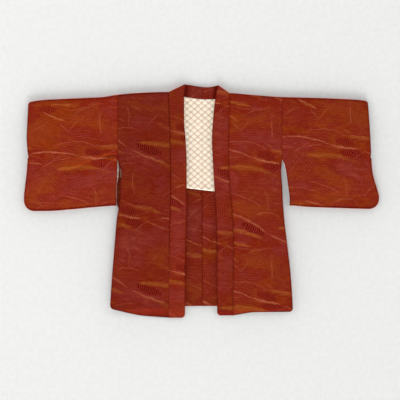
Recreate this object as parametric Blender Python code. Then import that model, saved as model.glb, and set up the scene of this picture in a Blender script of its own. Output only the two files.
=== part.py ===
"""Haori, a short kimono jacket, laid open and flat with its fronts up.

+Z is up from the surface it lies on, +Y runs to the collar and +X to the viewer's right.
Tables and sizes are in millimetres, and a point becomes metres where it enters a mesh.
A piece is the mid-surface of its cloth, grids joined by half-round folds, made thick by Solidify.
"""

import math
from collections import namedtuple

import bmesh
import bpy
import numpy as np
from mathutils import Vector

MM = 0.001
SIGN = {"left": -1, "right": 1}

# Walls of cloth, and the gap between pieces that are sewn edge to edge
CLOTH = 1.4
LINING = 1.0
BAND = 2.8
SEAM = 0.3

# Heights of the layers' mid-surfaces above the surface the garment lies on
LAYER_RISE = 5.0
TURN_UP_RISE = 1.9
BACK_Z = CLOTH / 2
FRONT_Z = BACK_Z + LAYER_RISE
FACING_Z = BACK_Z + TURN_UP_RISE
BAND_BACK_Z = BAND / 2
BAND_FRONT_Z = 5.3
LOW_LINING_Z = CLOTH + SEAM + LINING / 2
HIGH_LINING_Z = FRONT_Z - CLOTH / 2 - SEAM - LINING / 2

# How far a fold's round reaches past the edges that it joins
FOLD_REACH = LAYER_RISE / 2 + CLOTH / 2
TURN_UP_REACH = TURN_UP_RISE / 2 + CLOTH / 2
BAND_REACH = (BAND_FRONT_Z - BAND_BACK_Z) / 2 + BAND / 2

# The front hems pass the back hem and hang towards the surface there
BACK_HEM_Y = -393.5
FRONT_HEM_Z = 1.2
BAND_HEM_Z = 1.8
SAG_STARTS = 6
SAG_ENDS = 42

# Seams, openings and corners
CENTRE_X = 3
SHOULDER_Y = 395
SLEEVE_FOOT_Y = -25
ARMHOLE_Y = 160
CUFF_OPENING_Y = ARMHOLE_Y
CUFF_SEAM_EASES = 30
HEM_CORNER = 14
SLEEVE_CORNER = 37
CORNER_STEPS = (0.42, 0.14, 0)
FOLD_STEPS = 4

# The back hem turned up inside, which shows as a facing between the fronts
FACING_TOP_Y = 42
FACING_TOP_SLOPE = -0.12
FACING_STEPS = 8
FACING_FROM_SHARE = 0.6

# The side gussets, folded inwards between front and back
GUSSET_TOP_Y = 84
GUSSET_SET_IN = 2
GUSSET_TOP_DEPTH = 4
GUSSET_HEM_DEPTH = 30
GUSSET_STEPS = 9

# The collar's free edge rises to its peak above the shoulder
BAND_RISE_FROM_Y = 320
BAND_PEAK_Y = {"left": 439, "right": 436}

# Shares of the width at which the panels have columns, and heights at which they have rows
BODY_SHARES = (0, 0.2, 0.4, 0.6, 0.8, 1)
SLEEVE_SHARES = (0, 0.18, 0.36, 0.54, 0.72, 0.88, 1)

Stop = namedtuple("Stop", "y steps")

BODY_STOPS = (
    Stop(y=ARMHOLE_Y, steps=3),
    Stop(y=66, steps=3),
    Stop(y=BACK_HEM_Y - SAG_STARTS, steps=6),
)
SLEEVE_STOPS = (
    Stop(y=ARMHOLE_Y, steps=3),
    Stop(y=66, steps=2),
    Stop(y=SLEEVE_FOOT_Y, steps=2),
)

# Edges that run down the garment: where the left and the right one lie at each height
Edge = namedtuple("Edge", "y left right")

SIDE_EDGE = (
    Edge(y=400, left=-313, right=302),
    Edge(y=160, left=-313, right=302),
    Edge(y=115, left=-301, right=298),
    Edge(y=88, left=-301, right=299),
    Edge(y=66, left=-305, right=301.5),
    Edge(y=0, left=-307, right=304.5),
    Edge(y=-65, left=-316.5, right=309.5),
    Edge(y=-155, left=-324.5, right=320),
    Edge(y=-290, left=-335.5, right=335),
    Edge(y=-400, left=-343, right=342),
)
SLEEVE_INNER_EDGE = (
    Edge(y=400, left=-313, right=302),
    Edge(y=160, left=-313, right=302),
    Edge(y=137, left=-315.5, right=311.5),
    Edge(y=92, left=-316, right=320),
    Edge(y=47, left=-318.5, right=326),
    Edge(y=5, left=-319.5, right=331),
    Edge(y=-18, left=-319, right=330),
)
CUFF_EDGE = (
    Edge(y=375, left=-648, right=622),
    Edge(y=300, left=-651.5, right=628),
    Edge(y=235, left=-654.5, right=632),
    Edge(y=170, left=-651, right=635.5),
    Edge(y=114, left=-654, right=639.5),
    Edge(y=80, left=-658, right=647),
    Edge(y=47, left=-662, right=657.5),
    Edge(y=13, left=-665.5, right=665.5),
    Edge(y=-35, left=-665.5, right=665.5),
)
COLLAR_SEAM = (
    Edge(y=405, left=-124, right=105),
    Edge(y=190, left=-116, right=101.5),
    Edge(y=60, left=-114.5, right=105),
    Edge(y=0, left=-115.5, right=112),
    Edge(y=-140, left=-119.5, right=119.5),
    Edge(y=-440, left=-123.5, right=118),
)
COLLAR_FREE_EDGE = (
    Edge(y=438, left=-60, right=62),
    Edge(y=385, left=-65.5, right=52),
    Edge(y=295, left=-65.5, right=43),
    Edge(y=230, left=-60, right=39.5),
    Edge(y=130, left=-56, right=44),
    Edge(y=0, left=-56, right=50.5),
    Edge(y=-110, left=-56.5, right=55),
    Edge(y=-440, left=-62, right=58),
)

# Edges that run across the garment
Across = namedtuple("Across", "x y")

TOP_EDGE = (
    Across(x=-651, y=369),
    Across(x=-619, y=375.5),
    Across(x=-585, y=379),
    Across(x=-439, y=386),
    Across(x=-371, y=389.5),
    Across(x=-313, y=398.5),
    Across(x=-236, y=405),
    Across(x=-124, y=408.5),
    Across(x=105, y=404.5),
    Across(x=191, y=397.5),
    Across(x=292, y=390),
    Across(x=439, y=386),
    Across(x=585, y=379),
    Across(x=624, y=374),
)
SLEEVE_HEM = (
    Across(x=-665, y=-38),
    Across(x=-575, y=-37.5),
    Across(x=-480, y=-30.5),
    Across(x=-400, y=-23),
    Across(x=-319, y=-18),
    Across(x=330, y=-17),
    Across(x=400, y=-22),
    Across(x=560, y=-28),
    Across(x=665, y=-31),
)
FRONT_HEM = (
    Across(x=-343, y=-403),
    Across(x=-304, y=-412.5),
    Across(x=-259, y=-423),
    Across(x=-220, y=-430),
    Across(x=-146, y=-435.5),
    Across(x=-100, y=-438.5),
    Across(x=100, y=-431),
    Across(x=146, y=-424),
    Across(x=200, y=-416.5),
    Across(x=342, y=-415),
)

# The collar behind the neck, from near the shoulder to the centre: its sewn and its free edge
BandRow = namedtuple("BandRow", "seam_x seam_y free_x free_y")

BAND_BACK = {
    "left": (
        BandRow(seam_x=-96, seam_y=397.5, free_x=-46, free_y=434.5),
        BandRow(seam_x=-64, seam_y=390, free_x=-32, free_y=432),
        BandRow(seam_x=-32, seam_y=384.5, free_x=-15, free_y=429.5),
        BandRow(seam_x=CENTRE_X, seam_y=380.5, free_x=CENTRE_X, free_y=426.8),
    ),
    "right": (
        BandRow(seam_x=80, seam_y=390, free_x=49, free_y=430),
        BandRow(seam_x=54, seam_y=382, free_x=35, free_y=427),
        BandRow(seam_x=28, seam_y=380.5, free_x=20, free_y=426),
        BandRow(seam_x=CENTRE_X, seam_y=380.5, free_x=CENTRE_X, free_y=426.8),
    ),
}

# Strips of lining that show a little past an open edge; inwards is the way into the cloth
LiningStrip = namedtuple("LiningStrip", "name side edge inwards top_y bottom_y shows")

LINING_STRIPS = (
    LiningStrip("sleeve_lining_left", "left", SLEEVE_INNER_EDGE, -1, top_y=150, bottom_y=20, shows=3.5),
    LiningStrip("sleeve_lining_right", "right", SLEEVE_INNER_EDGE, 1, top_y=156, bottom_y=100, shows=1.5),
    LiningStrip("side_lining_left", "left", SIDE_EDGE, 1, top_y=120, bottom_y=86, shows=2.0),
)
STRIP_WIDTH = 28
STRIP_STEPS = 4

# The upper back lining runs a little under the fronts
LINING_UNDER_FRONT = 26
LINING_OUTER_DROP = 6
LINING_STEPS = 6

# Soft swells in the upper layers: centre, direction, half length, half width and height
Swell = namedtuple("Swell", "x y degrees long wide high")

SWELLS = (
    Swell(x=-420, y=165, degrees=8, long=110, wide=26, high=2.2),
    Swell(x=-560, y=60, degrees=-35, long=120, wide=40, high=1.6),
    Swell(x=-500, y=290, degrees=12, long=130, wide=45, high=1.4),
    Swell(x=395, y=285, degrees=52, long=80, wide=24, high=2.0),
    Swell(x=540, y=80, degrees=28, long=130, wide=38, high=1.8),
    Swell(x=500, y=300, degrees=-10, long=120, wide=42, high=1.3),
    Swell(x=-220, y=240, degrees=70, long=120, wide=42, high=1.5),
    Swell(x=-235, y=-60, degrees=82, long=170, wide=45, high=1.7),
    Swell(x=-200, y=-330, degrees=60, long=110, wide=40, high=1.5),
    Swell(x=200, y=210, degrees=-68, long=130, wide=42, high=1.6),
    Swell(x=215, y=-90, degrees=-80, long=170, wide=48, high=1.8),
    Swell(x=250, y=-340, degrees=-62, long=100, wide=38, high=1.4),
    Swell(x=-88, y=120, degrees=88, long=150, wide=22, high=0.8),
    Swell(x=82, y=-150, degrees=92, long=160, wide=22, high=0.9),
)


def mix(a, b, share):
    return a + (b - a) * share


def smoothstep(low, high, value):
    share = min(1.0, max(0.0, (value - low) / (high - low)))
    return share * share * (3 - 2 * share)


def curve(table, key, column, at):
    """A column of a table at any value of its key column, on a cubic that never overshoots."""
    rows = sorted(table, key=lambda row: getattr(row, key))
    keys = np.array([getattr(row, key) for row in rows], float)
    values = np.array([getattr(row, column) for row in rows], float)
    slopes = np.diff(values) / np.diff(keys)
    before, after = slopes[:-1], slopes[1:]
    same_way = before * after > 0
    total = np.where(same_way, before + after, 1)
    inner = np.where(same_way, 2 * before * after / total, 0)
    tangents = np.concatenate([slopes[:1], inner, slopes[-1:]])
    at = min(max(at, keys[0]), keys[-1])
    k = min(int(np.searchsorted(keys, at, side="right")) - 1, len(keys) - 2)
    span = keys[k + 1] - keys[k]
    t = (at - keys[k]) / span
    start = values[k] * (1 + 2 * t) + tangents[k] * span * t
    end = values[k + 1] * (3 - 2 * t) + tangents[k + 1] * span * (t - 1)
    return float(start * (1 - t) ** 2 + end * t**2)


def down(table, side, y):
    return curve(table, "y", side, y)


def across(table, x):
    return curve(table, "x", "y", x)


def relief(x, y):
    """How far the upper layers swell above their resting height at a place."""
    total = 0.0
    for swell in SWELLS:
        turn = math.radians(swell.degrees)
        u = (x - swell.x) * math.cos(turn) + (y - swell.y) * math.sin(turn)
        v = (y - swell.y) * math.cos(turn) - (x - swell.x) * math.sin(turn)
        total += swell.high * math.exp(-((u / swell.long) ** 2) - (v / swell.wide) ** 2)
    return total


def upper_z(x, y, resting_z, hem_z):
    """Height of an upper layer, which swells softly and hangs down past the back hem."""
    sag = smoothstep(SAG_STARTS, SAG_ENDS, BACK_HEM_Y - y)
    return mix(resting_z + relief(x, y), hem_z, sag)


def front_z(x, y):
    return upper_z(x, y, FRONT_Z, FRONT_HEM_Z)


def band_z(x, y):
    return upper_z(x, y, BAND_FRONT_Z, BAND_HEM_Z)


def corner_inset(radius, above_hem):
    """How far a rounded corner pulls its side edge in, at a height above the hem."""
    if above_hem >= radius:
        return 0.0
    return radius - math.sqrt(radius**2 - (radius - above_hem) ** 2)


def column_heights(top, stops, bottom, corner):
    """Heights down a column: even steps between the stops, then closer ones at the corner."""
    heights = [top]
    for stop in stops:
        start = heights[-1]
        end = max(stop.y, bottom + corner)
        heights += [mix(start, end, k / stop.steps) for k in range(1, stop.steps + 1)]
    return heights + [mix(bottom, heights[-1], step) for step in CORNER_STEPS]


def panel_x(side, share, y, above_hem=math.inf):
    """Where a body panel's column lies: share 0 is its side edge and 1 its collar seam."""
    outwards = SIGN[side]
    edge = down(SIDE_EDGE, side, y) - outwards * (SEAM / 2 + corner_inset(HEM_CORNER, above_hem))
    seam = down(COLLAR_SEAM, side, y) + outwards * SEAM
    return mix(edge, seam, share)


def front_heights(side, share):
    """Heights of the rows down a column of a front panel."""
    top = across(TOP_EDGE, panel_x(side, share, SHOULDER_Y)) - FOLD_REACH
    bottom = across(FRONT_HEM, panel_x(side, share, BACK_HEM_Y))
    return column_heights(top, BODY_STOPS, bottom, HEM_CORNER)


def facing_top(x):
    return FACING_TOP_Y + FACING_TOP_SLOPE * x


class Surface:
    """The mid-surface of one piece of cloth, as numbered points and quads."""

    def __init__(self):
        self.points = []
        self.faces = []

    def add(self, point):
        self.points.append(Vector(point))
        return len(self.points) - 1

    def join(self, rows):
        """Fills between rows of point numbers."""
        for upper, lower in zip(rows, rows[1:]):
            for k in range(len(upper) - 1):
                self.faces.append((upper[k], upper[k + 1], lower[k + 1], lower[k]))

    def grid(self, rows):
        numbered = [[self.add(point) for point in row] for row in rows]
        self.join(numbered)
        return numbered

    def fold(self, upper, lower, outwards):
        """Joins two edges, one above the other, by a half round that bulges outwards."""
        rows = [upper]
        for step in range(1, FOLD_STEPS):
            angle = math.pi * step / FOLD_STEPS
            row = []
            for a, b, out in zip(upper, lower, outwards):
                middle = (self.points[a] + self.points[b]) / 2
                spoke = self.points[a] - middle
                bulge = Vector(out) * spoke.length
                row.append(self.add(middle + math.cos(angle) * spoke + math.sin(angle) * bulge))
            rows.append(row)
        rows.append(lower)
        self.join(rows)

    def build(self, name, wall, material):
        """Makes the object, a closed wall of cloth round the mid-surface."""
        shape = bmesh.new()
        vertices = [shape.verts.new(point * MM) for point in self.points]
        for face in self.faces:
            shape.faces.new([vertices[k] for k in face])
        piece = finish_object(name, shape, material)
        thicken = piece.modifiers.new("Cloth wall", "SOLIDIFY")
        thicken.thickness = wall * MM
        thicken.offset = 0
        thicken.use_even_offset = True


def finish_object(name, shape, material):
    """Turns a bmesh into a smooth-shaded object of one material."""
    bmesh.ops.recalc_face_normals(shape, faces=shape.faces)
    mesh = bpy.data.meshes.new(name)
    shape.to_mesh(mesh)
    shape.free()
    mesh.shade_smooth()
    mesh.materials.append(material)
    piece = bpy.data.objects.new(name, mesh)
    bpy.context.scene.collection.objects.link(piece)
    return piece


def body_panel(side):
    """Front and back of one half, cut as one length over the shoulder, its hem turned up."""
    cloth = Surface()
    back_hem = BACK_HEM_Y + TURN_UP_REACH
    front, back = [], []
    for share in BODY_SHARES:
        heights = front_heights(side, share)
        xs = [panel_x(side, share, y, y - heights[-1]) for y in heights]
        front.append([(x, y, front_z(x, y)) for x, y in zip(xs, heights)])
        heights = column_heights(heights[0], BODY_STOPS, back_hem, HEM_CORNER)
        xs = [panel_x(side, share, y, y - back_hem) for y in heights]
        back.append([(x, y, BACK_Z) for x, y in zip(xs, heights)])
    front = cloth.grid(zip(*front))
    back = cloth.grid(zip(*back))
    cloth.fold(front[0], back[0], [(0, 1, 0)] * len(BODY_SHARES))

    # Below the collar the back runs on to the centre seam
    inner_edge = [row[-1] for row in back]
    columns = [inner_edge]
    centre_edge = CENTRE_X + SIGN[side] * SEAM / 2
    seam_hem_x = cloth.points[inner_edge[-1]].x
    for k, row in enumerate(BAND_BACK[side], start=1):
        hem_x = mix(seam_hem_x, centre_edge, k / len(BAND_BACK[side]))
        top_x = centre_edge if row.seam_x == CENTRE_X else row.seam_x
        heights = column_heights(row.seam_y - SEAM, BODY_STOPS, back_hem, HEM_CORNER)
        length = heights[0] - heights[-1]
        xs = [mix(hem_x, top_x, (y - heights[-1]) / length) for y in heights]
        columns.append([cloth.add((x, y, BACK_Z)) for x, y in zip(xs, heights)])
    cloth.join(list(zip(*columns)))

    # The back hem is turned up inside
    first = BODY_SHARES.index(FACING_FROM_SHARE)
    hem_line = back[-1][first:-1] + [column[-1] for column in columns]
    facing = []
    for step in range(FACING_STEPS + 1):
        row = []
        for point in [cloth.points[k] for k in hem_line]:
            y = mix(point.y, facing_top(point.x), step / FACING_STEPS)
            row.append((point.x, y, FACING_Z))
        facing.append(row)
    facing = cloth.grid(facing)
    cloth.fold(facing[0], hem_line, [(0, -1, 0)] * len(hem_line))
    return cloth


def sleeve(side):
    """A sleeve: one length folded at the top, sewn along its foot and its lower cuff."""
    cloth = Surface()
    outwards = SIGN[side]
    upper, lower = [], []
    for share in SLEEVE_SHARES:
        top_x, foot_x = [
            mix(down(SLEEVE_INNER_EDGE, side, y), down(CUFF_EDGE, side, y), share)
            for y in (SHOULDER_Y, SLEEVE_FOOT_Y)
        ]
        top = across(TOP_EDGE, top_x) - FOLD_REACH
        foot = across(SLEEVE_HEM, foot_x) + FOLD_REACH
        column = []
        for y in column_heights(top, SLEEVE_STOPS, foot, SLEEVE_CORNER):
            sewn = smoothstep(CUFF_OPENING_Y + CUFF_SEAM_EASES, CUFF_OPENING_Y, y)
            inset = FOLD_REACH * sewn + corner_inset(SLEEVE_CORNER, y - foot)
            inner = down(SLEEVE_INNER_EDGE, side, y) + outwards * SEAM / 2
            cuff = down(CUFF_EDGE, side, y) - outwards * inset
            column.append((mix(inner, cuff, share), y))
        upper.append([(x, y, front_z(x, y)) for x, y in column])
        lower.append([(x, y, BACK_Z) for x, y in column])
    upper = cloth.grid(zip(*upper))
    lower = cloth.grid(zip(*lower))
    cloth.fold(upper[0], lower[0], [(0, 1, 0)] * len(SLEEVE_SHARES))

    # The sewn edge runs out along the foot, round the corner and up to the cuff opening
    path = [(-1, k) for k in range(len(SLEEVE_SHARES))]
    for k in reversed(range(len(upper) - 1)):
        if cloth.points[upper[k][-1]].y < CUFF_OPENING_Y + 1:
            path.append((k, -1))
    outline = [cloth.points[upper[row][k]] for row, k in path]
    normals = []
    for before, after in zip([outline[0], *outline[:-1]], [*outline[1:], outline[-1]]):
        along = (after - before).to_2d().normalized()
        normals.append((outwards * along.y, -outwards * along.x, 0))
    cloth.fold([upper[row][k] for row, k in path], [lower[row][k] for row, k in path], normals)
    return cloth


def gusset(side):
    """The narrow wedge that joins front and back down the side, folded inwards between them."""
    cloth = Surface()
    inwards = -SIGN[side]
    hem = BACK_HEM_Y + GUSSET_SET_IN
    high, low = [], []
    for step in range(GUSSET_STEPS + 1):
        y = mix(GUSSET_TOP_Y, hem, step / GUSSET_STEPS)
        inset = GUSSET_SET_IN + corner_inset(HEM_CORNER, y - BACK_HEM_Y)
        edge = down(SIDE_EDGE, side, y) + inwards * inset
        depth = mix(GUSSET_TOP_DEPTH, GUSSET_HEM_DEPTH, step / GUSSET_STEPS)
        fold = edge + inwards * depth
        high.append([(edge, y, HIGH_LINING_Z), (fold, y, HIGH_LINING_Z)])
        low.append([(edge, y, LOW_LINING_Z), (fold, y, LOW_LINING_Z)])
    high = cloth.grid(high)
    low = cloth.grid(low)
    fold_edges = [[row[-1] for row in grid] for grid in (high, low)]
    cloth.fold(*fold_edges, [(inwards, 0, 0)] * (GUSSET_STEPS + 1))
    return cloth


def back_lining(side):
    """Half of the upper back lining, which shows between the collar bands above the facing."""
    cloth = Surface()
    outwards = SIGN[side]
    neck_x = down(COLLAR_SEAM, side, SHOULDER_Y)
    first = BAND_BACK[side][0]
    tops = [(neck_x + outwards * LINING_UNDER_FRONT, first.seam_y - LINING_OUTER_DROP)]
    tops.append((neck_x, first.seam_y - SEAM))
    tops += [(row.seam_x, row.seam_y - 2 * SEAM) for row in BAND_BACK[side]]
    tops[-1] = (CENTRE_X + outwards * SEAM / 2, tops[-1][1])
    rows = []
    for step in range(LINING_STEPS + 1):
        share = step / LINING_STEPS
        rows.append([(x, mix(y, facing_top(x) + SEAM, share), FACING_Z) for x, y in tops])
    cloth.grid(rows)
    return cloth


def lining_strip(strip):
    """A strip of lining just inside an open edge, showing a little past it."""
    cloth = Surface()
    rows = []
    for step in range(STRIP_STEPS + 1):
        y = mix(strip.top_y, strip.bottom_y, step / STRIP_STEPS)
        edge = down(strip.edge, strip.side, y) - strip.inwards * strip.shows
        far_edge = edge + strip.inwards * STRIP_WIDTH
        rows.append([(edge, y, LOW_LINING_Z), (far_edge, y, LOW_LINING_Z)])
    cloth.grid(rows)
    return cloth


def collar_sections(side):
    """Sewn edge, free edge and upward direction along the collar, from the hem to the centre."""
    outwards = SIGN[side]
    up = Vector((0, 0, 1))
    sections = []
    heights = front_heights(side, 1)
    top, bottom = heights[0], heights[-1]
    for y in reversed(heights):
        lift = smoothstep(BAND_RISE_FROM_Y, top, y)
        seam_x = down(COLLAR_SEAM, side, y)
        free_y = y + lift * (BAND_PEAK_Y[side] - BAND_REACH - top)
        free_x = down(COLLAR_FREE_EDGE, side, free_y)
        free_x += outwards * corner_inset(HEM_CORNER, y - bottom)
        seam = Vector((seam_x, y + lift * SEAM, band_z(seam_x, y)))
        free = Vector((free_x, free_y, band_z(free_x, free_y)))
        sections.append((seam, free, up))

    # Over the shoulder the band folds about the line from its sewn edge to its free edge
    for step in range(1, FOLD_STEPS + 1):
        angle = math.pi * step / FOLD_STEPS
        up = Vector((0, math.sin(angle), math.cos(angle)))
        edges = []
        for point in sections[len(heights) - 1][:2]:
            radius = (point.z - BAND_BACK_Z) / 2
            edges.append(Vector((point.x, point.y, BAND_BACK_Z + radius)) + up * radius)
        sections.append((*edges, up))

    # Behind the neck it lies on its outer face
    up = Vector((0, 0, -1))
    for row in BAND_BACK[side]:
        gap = outwards * SEAM / 2 if row.seam_x == CENTRE_X else 0
        seam = Vector((row.seam_x + gap, row.seam_y, BAND_BACK_Z))
        free = Vector((row.free_x + gap, row.free_y, BAND_BACK_Z))
        sections.append((seam, free, up))
    return sections


def collar(side, material):
    """Half of the collar, a folded band with a round free edge, lofted along its sections."""
    half = BAND / 2
    shape = bmesh.new()
    loops = []
    for seam, free, up in collar_sections(side):
        along = (free - seam).normalized()
        width = (free - seam).length
        profile = (
            (0, -half),
            (width - half, -half),
            (width - 0.3 * half, -0.7 * half),
            (width, 0),
            (width - 0.3 * half, 0.7 * half),
            (width - half, half),
            (0, half),
        )
        loops.append([shape.verts.new((seam + along * a + up * b) * MM) for a, b in profile])
    for first, second in zip(loops, loops[1:]):
        for k in range(len(first)):
            after = (k + 1) % len(first)
            shape.faces.new((first[k], first[after], second[after], second[k]))
    shape.faces.new(loops[0])
    shape.faces.new(loops[-1])
    piece = finish_object("collar_" + side, shape, material)
    piece.data.set_sharp_from_angle(angle=math.radians(50))


def cloth_material(name, colour, roughness):
    material = bpy.data.materials.new(name)
    material.use_nodes = True
    shader = material.node_tree.nodes["Principled BSDF"]
    shader.inputs["Base Color"].default_value = (*colour, 1)
    shader.inputs["Roughness"].default_value = roughness
    shader.inputs["Metallic"].default_value = 0
    return material


def clear_scene():
    for thing in list(bpy.data.objects):
        bpy.data.objects.remove(thing)


def red_silk(piece_name):
    return cloth_material(piece_name + " red silk", (0.30, 0.032, 0.014), 0.6)


def cream_silk(piece_name):
    return cloth_material(piece_name + " cream silk", (0.80, 0.68, 0.56), 0.55)


def main():
    clear_scene()
    for side in SIGN:
        body_panel(side).build("body_" + side, CLOTH, red_silk("body_" + side))
        sleeve(side).build("sleeve_" + side, CLOTH, red_silk("sleeve_" + side))
        collar(side, red_silk("collar_" + side))
        gusset(side).build("gusset_" + side, LINING, red_silk("gusset_" + side))
        back_lining(side).build("lining_" + side, LINING, cream_silk("lining_" + side))
    for strip in LINING_STRIPS:
        lining_strip(strip).build(strip.name, LINING, cream_silk(strip.name))


main()
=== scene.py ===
"""Haori, a short kimono jacket, laid open and flat with its fronts up.

+Z is up from the floor, +Y runs to the collar and +X to the viewer's right.
Tables and sizes are in millimetres, and a point becomes metres where it enters a mesh.
A piece is the mid-surface of its cloth, grids joined by half-round folds, made thick by Solidify.
Each point also keeps its place on the bolt of cloth, so the weave runs on over the folds.
"""

import math
from collections import namedtuple
from functools import reduce
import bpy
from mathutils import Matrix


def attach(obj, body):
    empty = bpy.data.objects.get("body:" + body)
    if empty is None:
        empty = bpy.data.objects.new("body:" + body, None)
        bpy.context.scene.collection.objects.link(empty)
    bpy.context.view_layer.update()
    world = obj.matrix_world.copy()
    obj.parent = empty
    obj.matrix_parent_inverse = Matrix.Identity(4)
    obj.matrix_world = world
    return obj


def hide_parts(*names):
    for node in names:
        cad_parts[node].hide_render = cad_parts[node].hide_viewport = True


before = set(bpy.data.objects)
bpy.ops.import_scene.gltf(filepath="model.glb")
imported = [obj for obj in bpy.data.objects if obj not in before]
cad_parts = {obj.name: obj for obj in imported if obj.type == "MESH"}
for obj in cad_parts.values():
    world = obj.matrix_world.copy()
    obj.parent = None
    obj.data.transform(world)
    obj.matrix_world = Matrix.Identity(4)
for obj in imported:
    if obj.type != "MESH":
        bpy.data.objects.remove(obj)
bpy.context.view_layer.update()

from types import SimpleNamespace

import bmesh
import bpy
import numpy as np

MM = 0.001
TURN = 2 * math.pi
SIGN = {"left": -1, "right": 1}


def chart(kind, *rows):
    """A table, whose rows give the columns of their kind in order."""
    return tuple(kind(*row) for row in rows)


# Walls of cloth, the gap between pieces sewn edge to edge, and the one between layers
CLOTH = 0.8
LINING = 0.6
SEAM = 0.06
CLEAR = 0.3

# Heights of the layers' mid-surfaces above the floor
BACK_Z = CLOTH / 2
FRONT_Z = 5.7
FACING_Z = 2.1
BAND_BACK_Z = 1.4
BAND_FRONT_Z = 5.3
LOW_LINING_Z = CLOTH + CLEAR + LINING / 2

# Pressed folds and sewn edges lie lower than the cloth between them
PRESSED_DROP = 0.5
PRESSED_WITHIN = 16
FOLD_REACH = (FRONT_Z - PRESSED_DROP - BACK_Z) / 2 + CLOTH / 2
TURN_UP_REACH = (FACING_Z - BACK_Z) / 2 + CLOTH / 2
# How much cloth goes round each of the two folds
FOLD_ROUND = math.pi * (FOLD_REACH - CLOTH / 2)
TURN_UP_ROUND = math.pi * (TURN_UP_REACH - CLOTH / 2)

# Seams are grooves, and open edges hang towards the layer below
SEAM_DEPTH = 1.1
SEAM_WITHIN = 5.0
OPEN_EDGE_Z = 5.5
OPEN_WITHIN = 26
FACING_SEAM_DEPTH = 0.7

# Painted shade along the cloth's seams, rolled edges, hems and the collar's folds behind the neck: how
# much darker the cloth is painted, and how far in from them
Shade = namedtuple("Shade", "dark within")

SEAM_SHADE = Shade(1, 4.2)
CENTRE_SHADE = Shade(1.2, 4.2)
SLEEVE_SEAM_SHADE = Shade(0.6, 4.2)
COLLAR_SHADE = Shade(1, 7.5)
FACING_TOP_SHADE = Shade(1.5, 6)
RIM_SHADE = Shade(1.2, 8.5)
BAND_RIM_SHADE = Shade(1.2, 2.6)
HEM_SHADE = Shade(1.9, 8.5)
HEM_PAINTED_SHADE = {"left": Shade(0.42, 36), "right": Shade(0.1, 36)}
NECK_SHADE = Shade(1.45, 24)
NECK_DEEP = {"left": 0.1, "right": 0.25}
SEWN_FOLD_SHADE = 0.8
LINING_SEAM_SHADE = 0.4
# Painted shade in creases, where they are deeper than this
CREASE_SHADE = 0.9
CREASE_SHADE_FROM = 0.9
# The left front is a little darker than the turned-up hem behind it
FRONT_SHADE = {"left": 0.14, "right": 0.0}
# The back's edge is painted paler where it shows past the front, as painted light against the shadow in
# the slit, from 3 mm on and fully at 9 mm
BACK_SHOWS_WITHIN = 30
BACK_SHOWS_PAINTED_LIGHT = 0.7
BACK_SHOWS_PALES = (3, 9)

# The front hems pass the back hem and hang towards the floor there
BACK_HEM_Y = -393.5
FRONT_HEM_Z = 0.9
BAND_HEM_Z = 1.85
SAG_STARTS = 6
SAG_ENDS = 42
# How much of the swells and of the seams' depth is left there
HEM_LIFT = 0.25
HEM_DROP = 0.15

# Seams, openings and corners
CENTRE_X = 3
CENTRE_EDGE = {side: CENTRE_X + sign * SEAM / 2 for side, sign in SIGN.items()}
SHOULDER_Y = 395
SLEEVE_FOOT_Y = -25
ARMHOLE_Y = 160
# From where to where, past the armhole's foot, its seam and its seam's shade set in
ARMHOLE_EASES = (-14, 4)
ARMHOLE_SHADE_EASES = (-10, 2)
CUFF_OPENING_Y = ARMHOLE_Y
CUFF_SEAM_EASES = 30
HEM_CORNER = 14
SLEEVE_CORNER = 37
SLEEVE_TOP_CORNER = 9
FOLD_STEPS = 8
SEWN_FOLD_NOTCH = 0.8

# The back hem turned up inside, which shows as a facing between the fronts
FACING_TOP_Y = 42
FACING_TOP_SLOPE = -0.12
# It starts under the front, at this share of the front's width
FACING_FROM_SHARE = 0.6

# The side gussets, folded inwards between front and back
GUSSET_TOP_Y = 84
GUSSET_SET_IN = 2
GUSSET_TOP_DEPTH = 4
GUSSET_HEM_DEPTH = 30

# The collar: its cloth lies double, and its free edge rises to its peak above the shoulder
BAND_HALF = 0.85
BAND_SEWN_HALF = 0.45
BAND_FREE_DROP = 0.9
BAND_SEAM_SHALLOWER = 0.4
BAND_PUFFS_WITHIN = 7
BAND_ROUND_STEPS = 6
BAND_RISE_FROM_Y = 320
BAND_PEAK_Y = {"left": 439, "right": 436}
BAND_PEAK_REACH = 3.4

# Distances between mesh lines: on what shows, on what lies hidden, and next to an edge
FINE = 4.0
COARSE = 8.0
EDGE_STEPS = (0, 0.5, 1.3, 2.4, 4.0, 6.4)
LEAST_STEP = 0.35

# About how long and wide each part is, which sets how many mesh lines it takes
FRONT_LONG = 830
FRONT_WIDE = 205
BACK_LONG = 790
HALF_NECK_WIDE = 115
FACING_LONG = 435
SLEEVE_LONG = 410
SLEEVE_WIDE = 335
GUSSET_LONG = 475
GUSSET_COLUMNS = 7
LINING_LONG = 350
BAND_WIDE = 60
BAND_NECK_LONG = 125

# Edges that run down the garment: where the left and the right one lie at each height
Edge = namedtuple("Edge", "y left right")

SIDE_EDGE = chart(
    Edge,
    (400, -313, 302),
    (160, -313, 302),
    (115, -301, 298),
    (88, -301, 299),
    (66, -305, 301.5),
    (0, -307, 304.5),
    (-65, -316.5, 309.5),
    (-155, -324.5, 320),
    (-290, -335.5, 335),
    (-400, -343, 342),
)
# How far the back shows past the front's side edge, in the slit below the armhole
BACK_SHOWS = chart(
    Edge,
    (158, 0, 0),
    (130, 6, 0),
    (90, 10.5, 0),
    (60, 11.5, 0),
    (40, 11.3, 0),
    (0, 10.8, 0),
    (-16, 8, 0),
    (-28, 0, 0),
)
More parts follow.
